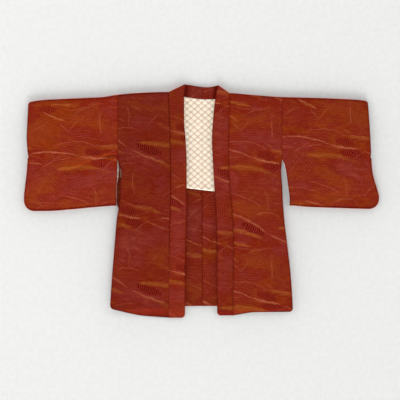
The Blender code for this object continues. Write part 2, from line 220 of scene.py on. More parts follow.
# How dark the collar's seam looks at each height, left and right
COLLAR_SEAM_DARK = chart(
    Edge,
    (-170, 1, 1),
    (-235, 0.35, 0.9),
)
SLEEVE_INNER_EDGE = chart(
    Edge,
    (400, -313, 302),
    (160, -313, 302),
    (137, -315.5, 311.5),
    (92, -316, 320),
    (47, -318.5, 326),
    (5, -319.5, 331),
    (-18, -319, 330),
)
CUFF_EDGE = chart(
    Edge,
    (375, -648, 622),
    (300, -651.5, 628),
    (235, -654.5, 632),
    (170, -651, 635.5),
    (114, -654, 639.5),
    (80, -658, 647),
    (47, -662, 657.5),
    (13, -665.5, 665.5),
    (-35, -665.5, 665.5),
)
COLLAR_SEAM = chart(
    Edge,
    (405, -124, 105),
    (190, -116, 101.5),
    (60, -114.5, 105),
    (0, -115.5, 112),
    (-140, -119.5, 119.5),
    (-440, -123.5, 118),
)
COLLAR_FREE_EDGE = chart(
    Edge,
    (438, -60, 62),
    (385, -65.5, 52),
    (295, -65.5, 43),
    (230, -60, 39.5),
    (130, -56, 44),
    (0, -56, 51.5),
    (-110, -57.5, 57.5),
    (-220, -60, 59),
    (-440, -62.5, 59),
)

# Edges that run across the garment
Across = namedtuple("Across", "x y")

TOP_EDGE = chart(
    Across,
    (-651, 369),
    (-619, 375.5),
    (-585, 379),
    (-439, 386),
    (-371, 389.5),
    (-313, 398.5),
    (-236, 405),
    (-124, 408.5),
    (105, 404.5),
    (191, 397.5),
    (292, 390),
    (439, 386),
    (585, 379),
    (624, 374),
)
SLEEVE_HEM = chart(
    Across,
    (-665, -38),
    (-575, -37.5),
    (-480, -30.5),
    (-400, -23),
    (-319, -18),
    (330, -17),
    (400, -22),
    (560, -28),
    (665, -31),
)
FRONT_HEM = chart(
    Across,
    (-343, -403),
    (-304, -412.5),
    (-259, -423),
    (-220, -430),
    (-146, -435.5),
    (-100, -438.5),
    (100, -431),
    (146, -424),
    (200, -416.5),
    (342, -415),
)

# The collar behind the neck, from near the shoulder to the centre: its sewn and its free edge
BandRow = namedtuple("BandRow", "seam_x seam_y free_x free_y")

BAND_BACK = {
    "left": chart(
        BandRow,
        (-96, 397.5, -46, 434.5),
        (-64, 390, -32, 432),
        (-32, 384.5, -15, 429.5),
        (CENTRE_EDGE["left"], 380.5, CENTRE_EDGE["left"], 426.8),
    ),
    "right": chart(
        BandRow,
        (80, 390, 49, 430),
        (54, 382, 35, 427),
        (28, 380.5, 20, 426),
        (CENTRE_EDGE["right"], 380.5, CENTRE_EDGE["right"], 426.8),
    ),
}

# Strips of lining that show a little past an open edge; inwards is the way into the cloth
LiningStrip = namedtuple("LiningStrip", "name side edge inwards top_y bottom_y shows")

LINING_STRIPS = chart(
    LiningStrip,
    ("sleeve_lining_left", "left", SLEEVE_INNER_EDGE, -1, 150, 20, 3.5),
    ("sleeve_lining_right", "right", SLEEVE_INNER_EDGE, 1, 156, 100, 1.5),
    ("side_lining_left", "left", SIDE_EDGE, 1, 120, 86, 2.0),
)
STRIP_WIDTH = 28
STRIP_HIDDEN_BELOW = 72
STRIP_EASES = 25

# The upper back lining runs a little under the fronts
LINING_UNDER_FRONT = 26
LINING_OUTER_DROP = 6
# Above its hem it puffs up a little
LINING_PUFF = 0.9
LINING_PUFF_Y = 5
LINING_PUFF_WITHIN = 12
LINING_HEM_DEPTH = 0.5
LINING_HEM_WITHIN = 2
LINING_SEAM_DEPTH = 0.35

# Swells and creases: centre, direction, half length, half width, height and sideways bend.
# A height below nought is a trough
Swell = namedtuple("Swell", "x y degrees long wide high bend", defaults=[0])

SWELLS = chart(
    Swell,
    (-420, 165, 8, 110, 26, 2.2),
    (-560, 60, -35, 120, 40, 1.6),
    (-500, 290, 12, 130, 45, 1.4),
    (395, 285, 52, 80, 24, 2.0),
    (540, 80, 28, 130, 38, 1.8),
    (500, 300, -10, 120, 42, 1.3),
    (-220, 240, 70, 120, 42, 1.5),
    (-235, -60, 82, 170, 45, 1.7),
    (-200, -330, 60, 110, 40, 1.5),
    (200, 210, -68, 130, 42, 1.6),
    (215, -90, -80, 170, 48, 1.8),
    (250, -340, -62, 100, 38, 1.4),
    (-88, 120, 88, 150, 22, 0.8),
    (82, -150, 92, 160, 22, 0.9),
)
CREASES = chart(
    Swell,
    (-342, 169, 9, 36, 4, -1.9, -2),
    (392, 280, 62, 34, 5, -1.2, -3),
    (-470, 120, 24, 75, 7, -0.9, 9),
    (-590, 250, -38, 60, 8, -0.8, -7),
    (-390, 40, 68, 52, 6, -0.8, 5),
    (-545, 10, 12, 66, 7, -0.7, 6),
    (455, 150, -22, 70, 7, -0.9, -8),
    (580, 215, 58, 58, 8, -0.8, 6),
    (385, 45, -64, 50, 6, -0.7, -4),
    (560, 8, -9, 72, 7, -0.7, 5),
    (-265, 128, -58, 46, 5.5, -1.0, 4),
    (262, 122, 56, 44, 5.5, -1.0, -4),
    (-180, 330, -28, 70, 8, -0.7, -7),
    (178, 322, 34, 66, 8, -0.7, 6),
    (-270, -200, 76, 95, 8, -0.8, 8),
    (-165, -205, 96, 84, 7, -0.7, -6),
    (270, -235, -72, 92, 8, -0.8, -8),
    (165, -250, 88, 78, 7, -0.7, 6),
    (-290, 20, 40, 48, 6, -0.7, 4),
    (282, -20, -44, 52, 6, -0.7, -5),
)
BACK_CREASES = chart(
    Swell,
    (-210, 180, 62, 120, 11, 0.9, 12),
    (-120, -60, 84, 170, 13, 1.0, -10),
    (-255, -240, 70, 110, 10, 0.8, 9),
    (205, 150, -66, 130, 12, 1.0, -11),
    (110, -130, -82, 160, 12, 0.9, 10),
    (262, -270, -64, 105, 10, 0.8, -8),
    (-480, 210, 18, 120, 11, 0.9, 10),
    (-560, 60, -34, 90, 10, 0.8, -8),
    (-395, 120, 52, 60, 8, 0.8, 5),
    (470, 230, -22, 118, 12, 0.9, -9),
    (575, 70, 38, 86, 10, 0.8, 8),
    (398, 90, -50, 64, 8, 0.8, -5),
)

LINING_CREASES = chart(
    Swell,
    (20, 233, 4, 22, 4, -1.1, 1),
    (-30, 140, 80, 60, 14, 1.0, 4),
    (30, 110, 96, 70, 14, 1.1, -4),
    (-8, 300, 70, 60, 15, 1.1, 3),
    (22, 205, 30, 30, 14, 1.0, 3),
)

# Soft patches of the ground weave: centre, direction, half length and half width in millimetres,
# and hue, which runs from -1 for orange-brown to 1 for plum. The fall is how fast they fade
Patch = namedtuple("Patch", "x y degrees long wide hue")
PATCH_FALL = 0.8

GROUND = chart(
    Patch,
    (-490, 190, 0, 210, 240, -0.4),
    (490, 190, 0, 210, 240, -0.2),
    (-88, -110, 90, 80, 26, 1.8),
    (-92, -330, 90, 90, 26, 0.9),
    (72, 150, 90, 140, 24, 0.9),
    (-27, -60, 90, 90, 28, 0.8),
    (28, -60, 90, 100, 28, 0.5),
    (0, 408, 0, 85, 32, 0.9),
    (-600, 248, 0, 45, 50, -1.0),
    (-541, 325, 0, 58, 24, -0.8),
    (-583, 64, 42, 70, 24, -0.7),
    (-491, -6, 0, 46, 16, -0.5),
    (-379, 289, 90, 40, 20, -0.7),
    (-488, 55, 20, 64, 46, 1.0),
    (-354, 106, 0, 38, 26, 0.9),
    (-583, 135, 8, 50, 20, 0.6),
    (-354, 327, 0, 34, 22, 0.8),
    (-620, 318, 0, 26, 16, 0.6),
    (-429, 235, 0, 70, 20, 0.3),
    (-256, 363, -16, 66, 17, -1.1),
    (-146, 352, 0, 32, 20, -0.5),
    (-231, 282, 0, 66, 46, 1.0),
    (-256, 168, 0, 58, 38, 1.0),
    (-159, 56, 80, 56, 40, 0.9),
    (-236, 28, 0, 52, 20, -0.5),
    (-259, -186, 90, 76, 56, 1.1),
    (-168, -208, 0, 42, 32, -0.9),
    (-226, -351, 0, 90, 34, 0.8),
    (-90, 328, 90, 60, 22, -0.5),
    (-86, -111, 90, 78, 26, -0.6),
    (-86, -354, 90, 62, 26, -0.9),
    (-28, -336, 90, 52, 26, -0.4),
    (-26, -111, 90, 52, 24, 0.7),
    (249, 222, 0, 46, 30, 1.1),
    (126, 286, 80, 28, 22, -1.0),
    (215, 311, 0, 38, 14, -0.8),
    (193, 339, 0, 30, 20, 0.8),
    (146, 208, 0, 38, 22, 0.8),
    (124, 65, 90, 60, 18, 0.9),
    (208, 60, 0, 56, 26, -0.5),
    (278, 58, 90, 30, 16, 0.7),
    (155, -19, -8, 58, 24, -0.9),
    (145, -96, 0, 30, 20, 0.9),
    (164, -160, -10, 40, 26, 1.0),
    (203, -170, 60, 34, 20, -1.0),
    (280, -188, 0, 42, 20, 0.9),
    (212, -234, 0, 42, 28, -0.7),
    (268, -240, 90, 44, 20, -0.8),
    (266, -306, 0, 48, 24, -0.9),
    (86, -84, 90, 30, 22, 0.6),
    (86, -306, 90, 46, 20, 0.8),
    (559, 311, 0, 62, 48, -0.9),
    (456, 300, 0, 36, 22, -1.0),
    (343, 269, 10, 40, 16, -0.7),
    (384, 322, 0, 36, 24, 0.7),
    (364, 206, 0, 50, 28, 0.9),
    (482, 99, -35, 64, 22, -1.0),
    (560, 108, -40, 76, 18, 1.1),
    (393, 66, 0, 42, 22, 0.5),
    (455, 7, 0, 52, 14, -0.8),
)

# The size of the pattern's repeat
PATTERN_WIDE = 360
PATTERN_LONG = 525

# How the pattern lies on each panel: where its repeat starts, and how far its motifs lean,
# dropping this much per millimetre right of the panel's middle. Then how light the cloth is,
# at the shoulder and at the hem
Panel = namedtuple("Panel", "start_x start_y lean middle top hem", defaults=[0, 0, 1, 1])

PANELS = {
    "body_left": Panel(-536, 155, 0.17, -218, 0.77, 0.86),
    "body_right": Panel(-17, -148, 0.17, 208, 0.92, 0.9),
    "facing_left": Panel(-214, 88),
    "facing_right": Panel(-170, 40),
    "sleeve_left": Panel(-660, 384, 0.0, -490, 0.98, 1.02),
    "sleeve_right": Panel(277, 429, 0.11, 480, 0.9, 1.02),
    "collar_left": Panel(-320, 478, 0.12, -90, 0.8, 0.96),
    "collar_right": Panel(-236, 62, 0.12, 80, 0.9, 0.84),
}
PLAIN = Panel(0, 0)
TONE_HEM_Y = -430
TONE_TOP_Y = 400


def mix(a, b, share):
    """a at share 0, b at share 1, and what lies between them."""
    return a + (b - a) * share


def smoothstep(low, high, value):
    """Eases from 0 at low to 1 at high."""
    share = np.clip((value - low) / (high - low), 0, 1)
    return share * share * (3 - 2 * share)


def monotone(keys, values, at):
    """Values at any place between the keys, on a cubic that never overshoots."""
    keys = np.asarray(keys, float)
    values = np.asarray(values, float)
    slopes = np.diff(values) / np.diff(keys)
    before, after = slopes[:-1], slopes[1:]
    same_way = before * after > 0
    total = np.where(same_way, before + after, 1)
    inner = np.where(same_way, 2 * before * after / total, 0)
    tangents = np.concatenate([slopes[:1], inner, slopes[-1:]])
    at = np.clip(at, keys[0], keys[-1])
    k = np.clip(np.searchsorted(keys, at, side="right") - 1, 0, len(keys) - 2)
    span = keys[k + 1] - keys[k]
    t = (at - keys[k]) / span
    start = values[k] * (1 + 2 * t) + tangents[k] * span * t
    end = values[k + 1] * (3 - 2 * t) + tangents[k + 1] * span * (t - 1)
    return start * (1 - t) ** 2 + end * t**2


def curve(table, key, column, at):
    """A column of a table at any value of its key column."""
    rows = sorted(table, key=lambda row: getattr(row, key))
    keys = [getattr(row, key) for row in rows]
    return monotone(keys, [getattr(row, column) for row in rows], at)


def down(table, side, y):
    """Where one side's edge lies at a height, or another quantity of such a table."""
    return curve(table, "y", side, y)


def across(table, x):
    """How high an edge that runs across lies at x."""
    return curve(table, "x", "y", x)


def spaced(length, pitch, fine_start=EDGE_STEPS, fine_end=EDGE_STEPS):
    """Shares of a length, even in the middle and closer towards its two ends."""
    start, end = fine_start[-1], length - fine_end[-1]
    steps = max(1, round((end - start) / pitch))
    middle = np.linspace(start, end, steps + 1)[1:-1]
    last = [length - step for step in reversed(fine_end)]
    return np.concatenate([fine_start, middle, last]) / length


def corner_steps(radius):
    """Heights above a hem whose rows make an even arc of a rounded corner."""
    arc = radius * (1 - np.cos(np.radians(np.arange(10, 91, 10))))
    steps = sorted({*EDGE_STEPS, *[float(height) for height in arc]})
    kept = [steps[0]]
    for step in steps[1:]:
        if step - kept[-1] > LEAST_STEP:
            kept.append(step)
    return tuple(kept)


def turned_to(spot, x, y):
    """How far a place lies along a spot, in its half lengths, and across it."""
    turn = math.radians(spot.degrees)
    right, up = x - spot.x, y - spot.y
    u = (right * math.cos(turn) + up * math.sin(turn)) / spot.long
    return u, up * math.cos(turn) - right * math.sin(turn)


def relief(x, y, table):
    """How far the swells and creases of a table lift the cloth at a place."""
    total = np.zeros(np.broadcast(x, y).shape)
    for swell in table:
        u, v = turned_to(swell, x, y)
        v = (v - swell.bend * u * u) / swell.wide
        total = total + swell.high * np.exp(-(u**2) - v**2)
    return total


def near(distance, within):
    """1 at an edge, easing to 0 at a distance from it."""
    return 1 - smoothstep(0, within, np.abs(distance))


def groove(distance, within):
    """1 at a seam, falling away steeply at first."""
    return np.clip(1 - np.abs(distance) / within, 0, 1) ** 2


def ground_hue(x, y):
    """Hue of the ground weave at places on the garment."""
    total = np.zeros(len(x))
    for patch in GROUND:
        u, v = turned_to(patch, x, y)
        total = total + patch.hue * np.exp(-PATCH_FALL * (u**2 + (v / patch.wide) ** 2))
    return total


def upper_z(x, y, resting_z, hem_z, drop=0):
    """Height of an upper layer, which swells and creases and hangs down past the back hem."""
    sag = smoothstep(SAG_STARTS, SAG_ENDS, BACK_HEM_Y - y)
    lift = relief(x, y, SWELLS) + relief(x, y, CREASES)
    return mix(resting_z + lift - drop, hem_z + HEM_LIFT * lift - HEM_DROP * drop, sag)


def back_z(x, y):
    return BACK_Z + relief(x, y, BACK_CREASES)


def corner_rise(radius, from_edge):
    """How far a rounded corner lifts its hem at a distance from the side edge, or the reverse."""
    short = np.clip(radius - from_edge, 0, radius)
    return radius - np.sqrt(radius**2 - short**2)


def above_armhole(y, eases=ARMHOLE_EASES):
    """1 where the sleeve is sewn to the body, easing to 0 at the armhole's foot."""
    return smoothstep(ARMHOLE_Y + eases[0], ARMHOLE_Y + eases[1], y)


def facing_top(x):
    return FACING_TOP_Y + FACING_TOP_SLOPE * x


def panel_x(side, share, y):
    """Where a body panel's column lies: share 0 is its side edge and 1 its collar seam."""
    outwards = SIGN[side]
    edge = down(SIDE_EDGE, side, y) - outwards * SEAM / 2
    seam = down(COLLAR_SEAM, side, y) + outwards * SEAM
    return mix(edge, seam, share)


def front_ends(side, share):
    """Where a front panel's column starts at the shoulder fold and ends at the hem."""
    hem_x = panel_x(side, share, BACK_HEM_Y)
    corner = corner_rise(HEM_CORNER, np.abs(hem_x - panel_x(side, 0, BACK_HEM_Y)))
    top = across(TOP_EDGE, panel_x(side, share, SHOULDER_Y)) - FOLD_REACH
    return top, across(FRONT_HEM, hem_x) + corner


def body_z(side, x, y, top_y):
    """Height of a front panel, with its seam grooves, pressed fold and hanging open edge."""
    from_side = x - down(SIDE_EDGE, side, y)
    from_collar = x - down(COLLAR_SEAM, side, y)
    sewn = above_armhole(y)
    drop = (
        SEAM_DEPTH * groove(from_collar, SEAM_WITHIN)
        + SEAM_DEPTH * sewn * groove(from_side, SEAM_WITHIN)
        + (FRONT_Z - OPEN_EDGE_Z) * (1 - sewn) * near(from_side, OPEN_WITHIN)
        + PRESSED_DROP * near(top_y - y, PRESSED_WITHIN)
    )
    return upper_z(x, y, FRONT_Z, FRONT_HEM_Z, drop)


def in_scene(name, data):
    """A new object in the scene."""
    thing = bpy.data.objects.new(name, data)
    bpy.context.scene.collection.objects.link(thing)
    return thing


class Surface:
    """The mid-surface of one piece, with each point's place on the bolt and the painted shade on it."""

    def __init__(self):
        self.points = np.zeros((0, 3))
        self.bolt = np.zeros((0, 2))
        self.shade = np.zeros(0)
        self.quads = []

    def add(self, x, y, z, on_bolt, shade=0):
        """Takes in a row or grid of points and returns their numbers in the same shape."""
        x, y, z, over, along, shade = np.broadcast_arrays(x, y, z, *on_bolt, shade)
        first = len(self.points)
        new = np.stack([x, y, z], axis=-1).reshape(-1, 3)
        self.points = np.concatenate([self.points, new])
        self.bolt = np.concatenate([self.bolt, np.stack([over, along], axis=-1).reshape(-1, 2)])
        self.shade = np.concatenate([self.shade, shade.reshape(-1)])
        return np.arange(first, first + x.size).reshape(x.shape)

    def join(self, rows):
        """Fills between rows of point numbers."""
        rows = np.asarray(rows)
        corners = [rows[:-1, :-1], rows[:-1, 1:], rows[1:, 1:], rows[1:, :-1]]
        self.quads.append(np.stack(corners, axis=-1).reshape(-1, 4))

    def grid(self, x, y, z, on_bolt, shade=0):
        rows = self.add(x, y, z, on_bolt, shade)
        self.join(rows)
        return rows

    def fold(self, upper, lower, outwards, sewn=False):
        """Joins two edges, one above the other, by a half round that bulges outwards.

        Outwards is one direction, or one for each point. A sewn fold has a groove along its
        middle, where the weave of one panel ends and that of the next begins.
        """
        outwards = np.asarray(outwards, float)
        middle = (self.points[upper] + self.points[lower]) / 2
        spoke = self.points[upper] - middle
        bulge = outwards * np.linalg.norm(spoke, axis=1, keepdims=True)
        # Painted shade on the rolled edge, deeper where it faces down at a hem; a sewn fold's groove gets
        # its own painted shade
        rim = np.where(outwards[..., 1] < 0, HEM_SHADE.dark, RIM_SHADE.dark)
        rows = [np.asarray(upper)]
        for step in range(1, FOLD_STEPS):
            share = step / FOLD_STEPS
            angle = math.pi * share
            round_to = math.cos(angle) * spoke + math.sin(angle) * bulge
            shade = rim * math.sin(angle)
            bolt = mix(self.bolt[upper], self.bolt[lower], share)
            if sewn:
                bolt = self.bolt[upper if share <= 0.5 else lower]
            if sewn and step == FOLD_STEPS // 2:
                round_to = SEWN_FOLD_NOTCH * round_to
                shade = SEWN_FOLD_SHADE
            rows.append(self.add(*(middle + round_to).T, bolt.T, shade))
        rows.append(np.asarray(lower))
        self.join(rows)

    def area(self):
        """Area of the cloth in square metres."""
        quads = np.concatenate(self.quads)
        a, b, c, d = [self.points[quads[:, k]] * MM for k in range(4)]
        return float(np.linalg.norm(np.cross(c - a, d - b), axis=1).sum() / 2)

    def build(self, name, wall, material):
        """Makes the object, a closed wall of cloth round the mid-surface."""
        mesh = bpy.data.meshes.new(name)
        mesh.from_pydata((self.points * MM).tolist(), [], np.concatenate(self.quads).tolist())
        shape = bmesh.new()
        shape.from_mesh(mesh)
        bmesh.ops.recalc_face_normals(shape, faces=shape.faces)
        shape.to_mesh(mesh)
        shape.free()
        panel_name = name.removesuffix("_cloth")
        panel = PANELS.get(panel_name, PLAIN)
        x, y = self.points[:, 0], self.points[:, 1]
        dropped = panel.lean * (x - panel.middle)
        place = mesh.attributes.new("bolt", "FLOAT_VECTOR", "POINT")
        place.data.foreach_set("vector", np.column_stack([self.bolt, dropped]).ravel() * MM)
        values = {
            # Painted shade at seams, edges, folds and creases; below nought it is painted light
            "seam_shade": self.shade,
            "tone": mix(panel.hem, panel.top, smoothstep(TONE_HEM_Y, TONE_TOP_Y, y)),
            "ground_hue": ground_hue(x, y),
            "half": np.full(len(x), {"body_left": -1.0, "body_right": 1.0}.get(panel_name, 0.0)),
        }
        for kind, numbers in values.items():
            mesh.attributes.new(kind, "FLOAT", "POINT").data.foreach_set("value", numbers)
        mesh.shade_smooth()
        mesh.materials.append(material)
        piece = in_scene(name, mesh)
        thicken = piece.modifiers.new("Cloth wall", "SOLIDIFY")
        thicken.thickness = wall * MM
        thicken.offset = 0
        thicken.use_even_offset = True
        return piece


def on_panel(panel, x, y):
    """Place on the bolt of a point that lies face up on a panel."""
    start = PANELS[panel]
    return x - start.start_x, start.start_y - y


def nearest_repeat(wanted, other, repeat):
    """The other place moved by whole repeats until it is nearest to the wanted one."""
    return other + repeat * np.round((wanted - other) / repeat)


def deepest(*shades):
    """The darkest of several shades at each point."""
    return reduce(np.maximum, shades)


def shaded(distance, shade=SEAM_SHADE, fall=groove):
    """How much painted shade the cloth gets at a distance from a seam or an edge."""
    return shade.dark * fall(distance, shade.within)


def body_front(cloth, side, shares):
    """The front of one half; returns the point numbers and the heights of its top line."""
    top, bottom = front_ends(side, shares)
    y = mix(top, bottom, spaced(FRONT_LONG, FINE)[:, None])
    x = panel_x(side, shares, y)
    sewn = above_armhole(y, ARMHOLE_SHADE_EASES)
    to_side = x - down(SIDE_EDGE, side, y)
    to_collar = x - down(COLLAR_SEAM, side, y)
    # Painted shade along the collar seam, the sleeve seam, the open side edge, the shoulder fold and the
    # hem, and a broad band of it up from the hem
    shade = deepest(
        down(COLLAR_SEAM_DARK, side, y) * shaded(to_collar, COLLAR_SHADE),
        sewn * shaded(to_side, SLEEVE_SEAM_SHADE),
        (1 - sewn) * shaded(to_side, RIM_SHADE),
        shaded(top - y, RIM_SHADE),
        shaded(y - bottom, HEM_SHADE),
        shaded(y - bottom, HEM_PAINTED_SHADE[side], near),
    )
    shade = shade + FRONT_SHADE[side]
    front = cloth.grid(x, y, body_z(side, x, y, top), on_panel("body_" + side, x, y), shade)
    return front[0], top


def body_back(cloth, side, shares, top):
    """The back, whose weave runs on from the front's and ends where the facing's begins."""
    hem_y = BACK_HEM_Y + TURN_UP_REACH
    centre_edge = CENTRE_EDGE[side]
    inner = spaced(HALF_NECK_WIDE, FINE)[1:]
    neck = BAND_BACK[side]
    seam_top_x = panel_x(side, 1, top[-1])
    neck_x = [seam_top_x, *[row.seam_x for row in neck]]
    neck_y = [top[-1], *[row.seam_y - SEAM for row in neck]]
    steps = np.linspace(0, 1, len(neck_x))
    tops = np.concatenate([top, monotone(steps, neck_y, inner)])
    rows = spaced(BACK_LONG, COARSE)[:, None]
    width = np.abs(panel_x(side, 1, hem_y) - panel_x(side, 0, hem_y))
    hems = hem_y + corner_rise(HEM_CORNER, width * np.concatenate([shares, 1 + inner]))
    y = mix(tops, hems, rows)
    outer_y, inner_y = np.split(y, [len(shares)], axis=1)
    rise = (inner_y - hem_y) / (tops[len(shares) :] - hem_y)
    top_share = (monotone(steps, neck_x, inner) - seam_top_x) / (centre_edge - seam_top_x)
    inner_x = mix(panel_x(side, 1, inner_y), centre_edge, mix(inner, top_share, rise))
    shows = down(BACK_SHOWS, side, outer_y)
    outer_x = panel_x(side, shares, outer_y)
    outer_x = outer_x + SIGN[side] * shows * near(outer_x - outer_x[:, :1], BACK_SHOWS_WITHIN)
    x = np.concatenate([outer_x, inner_x], axis=1)
    over, front_along = on_panel("body_" + side, x, top[0])
    along = front_along - FOLD_ROUND - (top[0] - y)
    over_facing, along_facing = on_panel("facing_" + side, x, y)
    along_facing = np.full_like(y, along_facing[-1, 0]) + TURN_UP_ROUND
    along_facing = nearest_repeat(along[-1:, :1], along_facing, PATTERN_LONG)
    over_facing = nearest_repeat(over[-1:, :1], over_facing[:, :1], PATTERN_WIDE) + x - x[:, :1]
    along = along + (along_facing - along[-1:, :1]) * rows
    over = mix(over, over_facing, rows)
    # Painted shade along the centre back seam, and painted light on the back's strip where it shows in
    # the slit, against the front's shadow there
    shade = shaded(x - centre_edge)
    painted_light = near(outer_x - outer_x[:, :1], BACK_SHOWS_WITHIN / 2)
    painted_light = painted_light * smoothstep(*BACK_SHOWS_PALES, shows)
    shade[:, : len(shares)] -= BACK_SHOWS_PAINTED_LIGHT * painted_light
    return cloth.grid(x, y, back_z(x, y), (over, along), shade)


def body_facing(cloth, side, hem_line):
    """The back hem turned up inside, from the hem to its sewn top; returns its first line."""
    hem_x, hem_y = cloth.points[hem_line, 0], cloth.points[hem_line, 1]
    y = mix(hem_y, facing_top(hem_x), spaced(FACING_LONG, FINE)[:, None])
    x = np.broadcast_to(hem_x, y.shape)
    to_top, to_centre = facing_top(x) - y, x - CENTRE_EDGE[side]
    to_band = x - down(COLLAR_FREE_EDGE, side, y)
    to_seam = groove(to_top, SEAM_WITHIN) + groove(to_centre, SEAM_WITHIN)
    z = FACING_Z - FACING_SEAM_DEPTH * np.minimum(to_seam, 1)
    # Painted shade along the centre seam, under the collar's free edge and under the lining's sewn edge
    shade = deepest(
        shaded(to_centre, CENTRE_SHADE),
        shaded(to_band, COLLAR_SHADE),
        shaded(to_top, FACING_TOP_SHADE),
    )
    over, along = on_panel("facing_" + side, x, y)
    over = nearest_repeat(cloth.bolt[hem_line[:1], 0], over[:, :1], PATTERN_WIDE) + x - x[:, :1]
    along = along + nearest_repeat(cloth.bolt[hem_line[0], 1], along[0, 0], PATTERN_LONG) - along[0, 0]
    return cloth.grid(x, y, z, (over, along), shade)[0]


def body_panel(side):
    """Front and back of one half, cut as one length over the shoulder, its hem turned up."""
    cloth = Surface()
    shares = spaced(FRONT_WIDE, FINE, fine_start=corner_steps(HEM_CORNER))
    top_line, top = body_front(cloth, side, shares)
    back = body_back(cloth, side, shares, top)
    cloth.fold(top_line, back[0, : len(shares)], (0, 1, 0))
    hem_line = back[-1, int(np.argmax(shares >= FACING_FROM_SHARE)) :]
    cloth.fold(body_facing(cloth, side, hem_line), hem_line, (0, -1, 0))
    return cloth


def sleeve(side):
    """A sleeve: one length folded at the top, sewn along its foot and its lower cuff."""
    cloth = Surface()
    outwards = SIGN[side]
    panel = "sleeve_" + side
    shares = spaced(SLEEVE_WIDE, FINE, fine_end=corner_steps(SLEEVE_CORNER))
    top_x, foot_x = [
        mix(down(SLEEVE_INNER_EDGE, side, y), down(CUFF_EDGE, side, y), shares)
        for y in (SHOULDER_Y, SLEEVE_FOOT_Y)
    ]
    corner = corner_rise(SLEEVE_CORNER, np.abs(foot_x - foot_x[-1]))
    top = across(TOP_EDGE, top_x) - FOLD_REACH
    top = top - corner_rise(SLEEVE_TOP_CORNER, np.abs(top_x - top_x[-1]))
    foot = across(SLEEVE_HEM, foot_x) + FOLD_REACH + corner
    y = mix(top, foot, spaced(SLEEVE_LONG, FINE)[:, None])
    sewn = smoothstep(CUFF_OPENING_Y + CUFF_SEAM_EASES, CUFF_OPENING_Y, y)
    inner = down(SLEEVE_INNER_EDGE, side, y) + outwards * SEAM / 2
    cuff = down(CUFF_EDGE, side, y) - outwards * FOLD_REACH * sewn
    x = mix(inner, cuff, shares)

    # The upper layer lies low along its folds and seams and at its two openings
    joined = above_armhole(y)
    hang = FRONT_Z - OPEN_EDGE_Z
    cuff_drop, cuff_within = mix(hang, PRESSED_DROP, sewn), mix(OPEN_WITHIN, PRESSED_WITHIN, sewn)
    drop = (
        (1 - joined) * hang * near(x - inner, OPEN_WITHIN)
        + joined * SEAM_DEPTH * groove(x - inner, SEAM_WITHIN)
        + cuff_drop * near(x - cuff, cuff_within)
        + PRESSED_DROP * (near(top - y, PRESSED_WITHIN) + near(y - foot, PRESSED_WITHIN))
    )
    z = upper_z(x, y, FRONT_Z, FRONT_HEM_Z, np.minimum(drop, SEAM_DEPTH))
    over, along = on_panel(panel, x, y)
    # Painted shade along the seam to the body, the open inner edge, the folds, the cuff and the foot, and
    # in the deeper creases
    shade = deepest(
        joined * shaded(x - inner, SLEEVE_SEAM_SHADE),
        (1 - joined) * shaded(x - inner, RIM_SHADE),
        shaded(top - y, RIM_SHADE),
        shaded(x - cuff, RIM_SHADE),
        shaded(y - foot, HEM_SHADE),
        CREASE_SHADE * np.clip(-relief(x, y, CREASES) - CREASE_SHADE_FROM, 0, 1),
    )
    upper = cloth.grid(x, y, z, (over, along), shade)
    turned = 2 * on_panel(panel, x, top)[1] - along - FOLD_ROUND
    lower = cloth.grid(x, y, back_z(x, y), (over, turned))
    cloth.fold(upper[0], lower[0], (0, 1, 0))

    # The sewn edge runs out along the foot, round the corner and up to the cuff opening
    below_opening = cloth.points[upper[:-1, -1], 1] < CUFF_OPENING_Y + 1
    climb = np.flatnonzero(below_opening)[::-1]
    high = np.concatenate([upper[-1], upper[climb, -1]])
    low = np.concatenate([lower[-1], lower[climb, -1]])
    outline = cloth.points[high, :2]
    ahead = np.concatenate([outline[1:], outline[-1:]]) - np.concatenate([outline[:1], outline[:-1]])
    ahead = ahead / np.linalg.norm(ahead, axis=1, keepdims=True)
    normals = np.column_stack([outwards * ahead[:, 1], -outwards * ahead[:, 0], 0 * high])
    cloth.fold(high, low, normals, sewn=True)
    return cloth


def gusset(side):
    """The narrow wedge that joins front and back down the side, folded inwards between them."""
    cloth = Surface()
    inwards = -SIGN[side]
    rows = spaced(GUSSET_LONG, COARSE)[:, None]
    y = mix(GUSSET_TOP_Y, BACK_HEM_Y + GUSSET_SET_IN, rows)
    inset = GUSSET_SET_IN + corner_rise(HEM_CORNER, y - BACK_HEM_Y)
    edge = down(SIDE_EDGE, side, y) + inwards * inset
    depth = mix(GUSSET_TOP_DEPTH, GUSSET_HEM_DEPTH, rows)
    x = edge + inwards * depth * np.linspace(0, 1, GUSSET_COLUMNS)
    under_front = CLOTH / 2 + CLEAR + LINING / 2
    over = np.abs(x - edge)
    high = cloth.grid(x, y, body_z(side, x, y, SHOULDER_Y) - under_front, (over, -y))
    low = cloth.grid(x, y, np.full_like(x, LOW_LINING_Z), (2 * depth - over, -y))
    cloth.fold(high[:, -1], low[:, -1], (inwards, 0, 0))
    return cloth


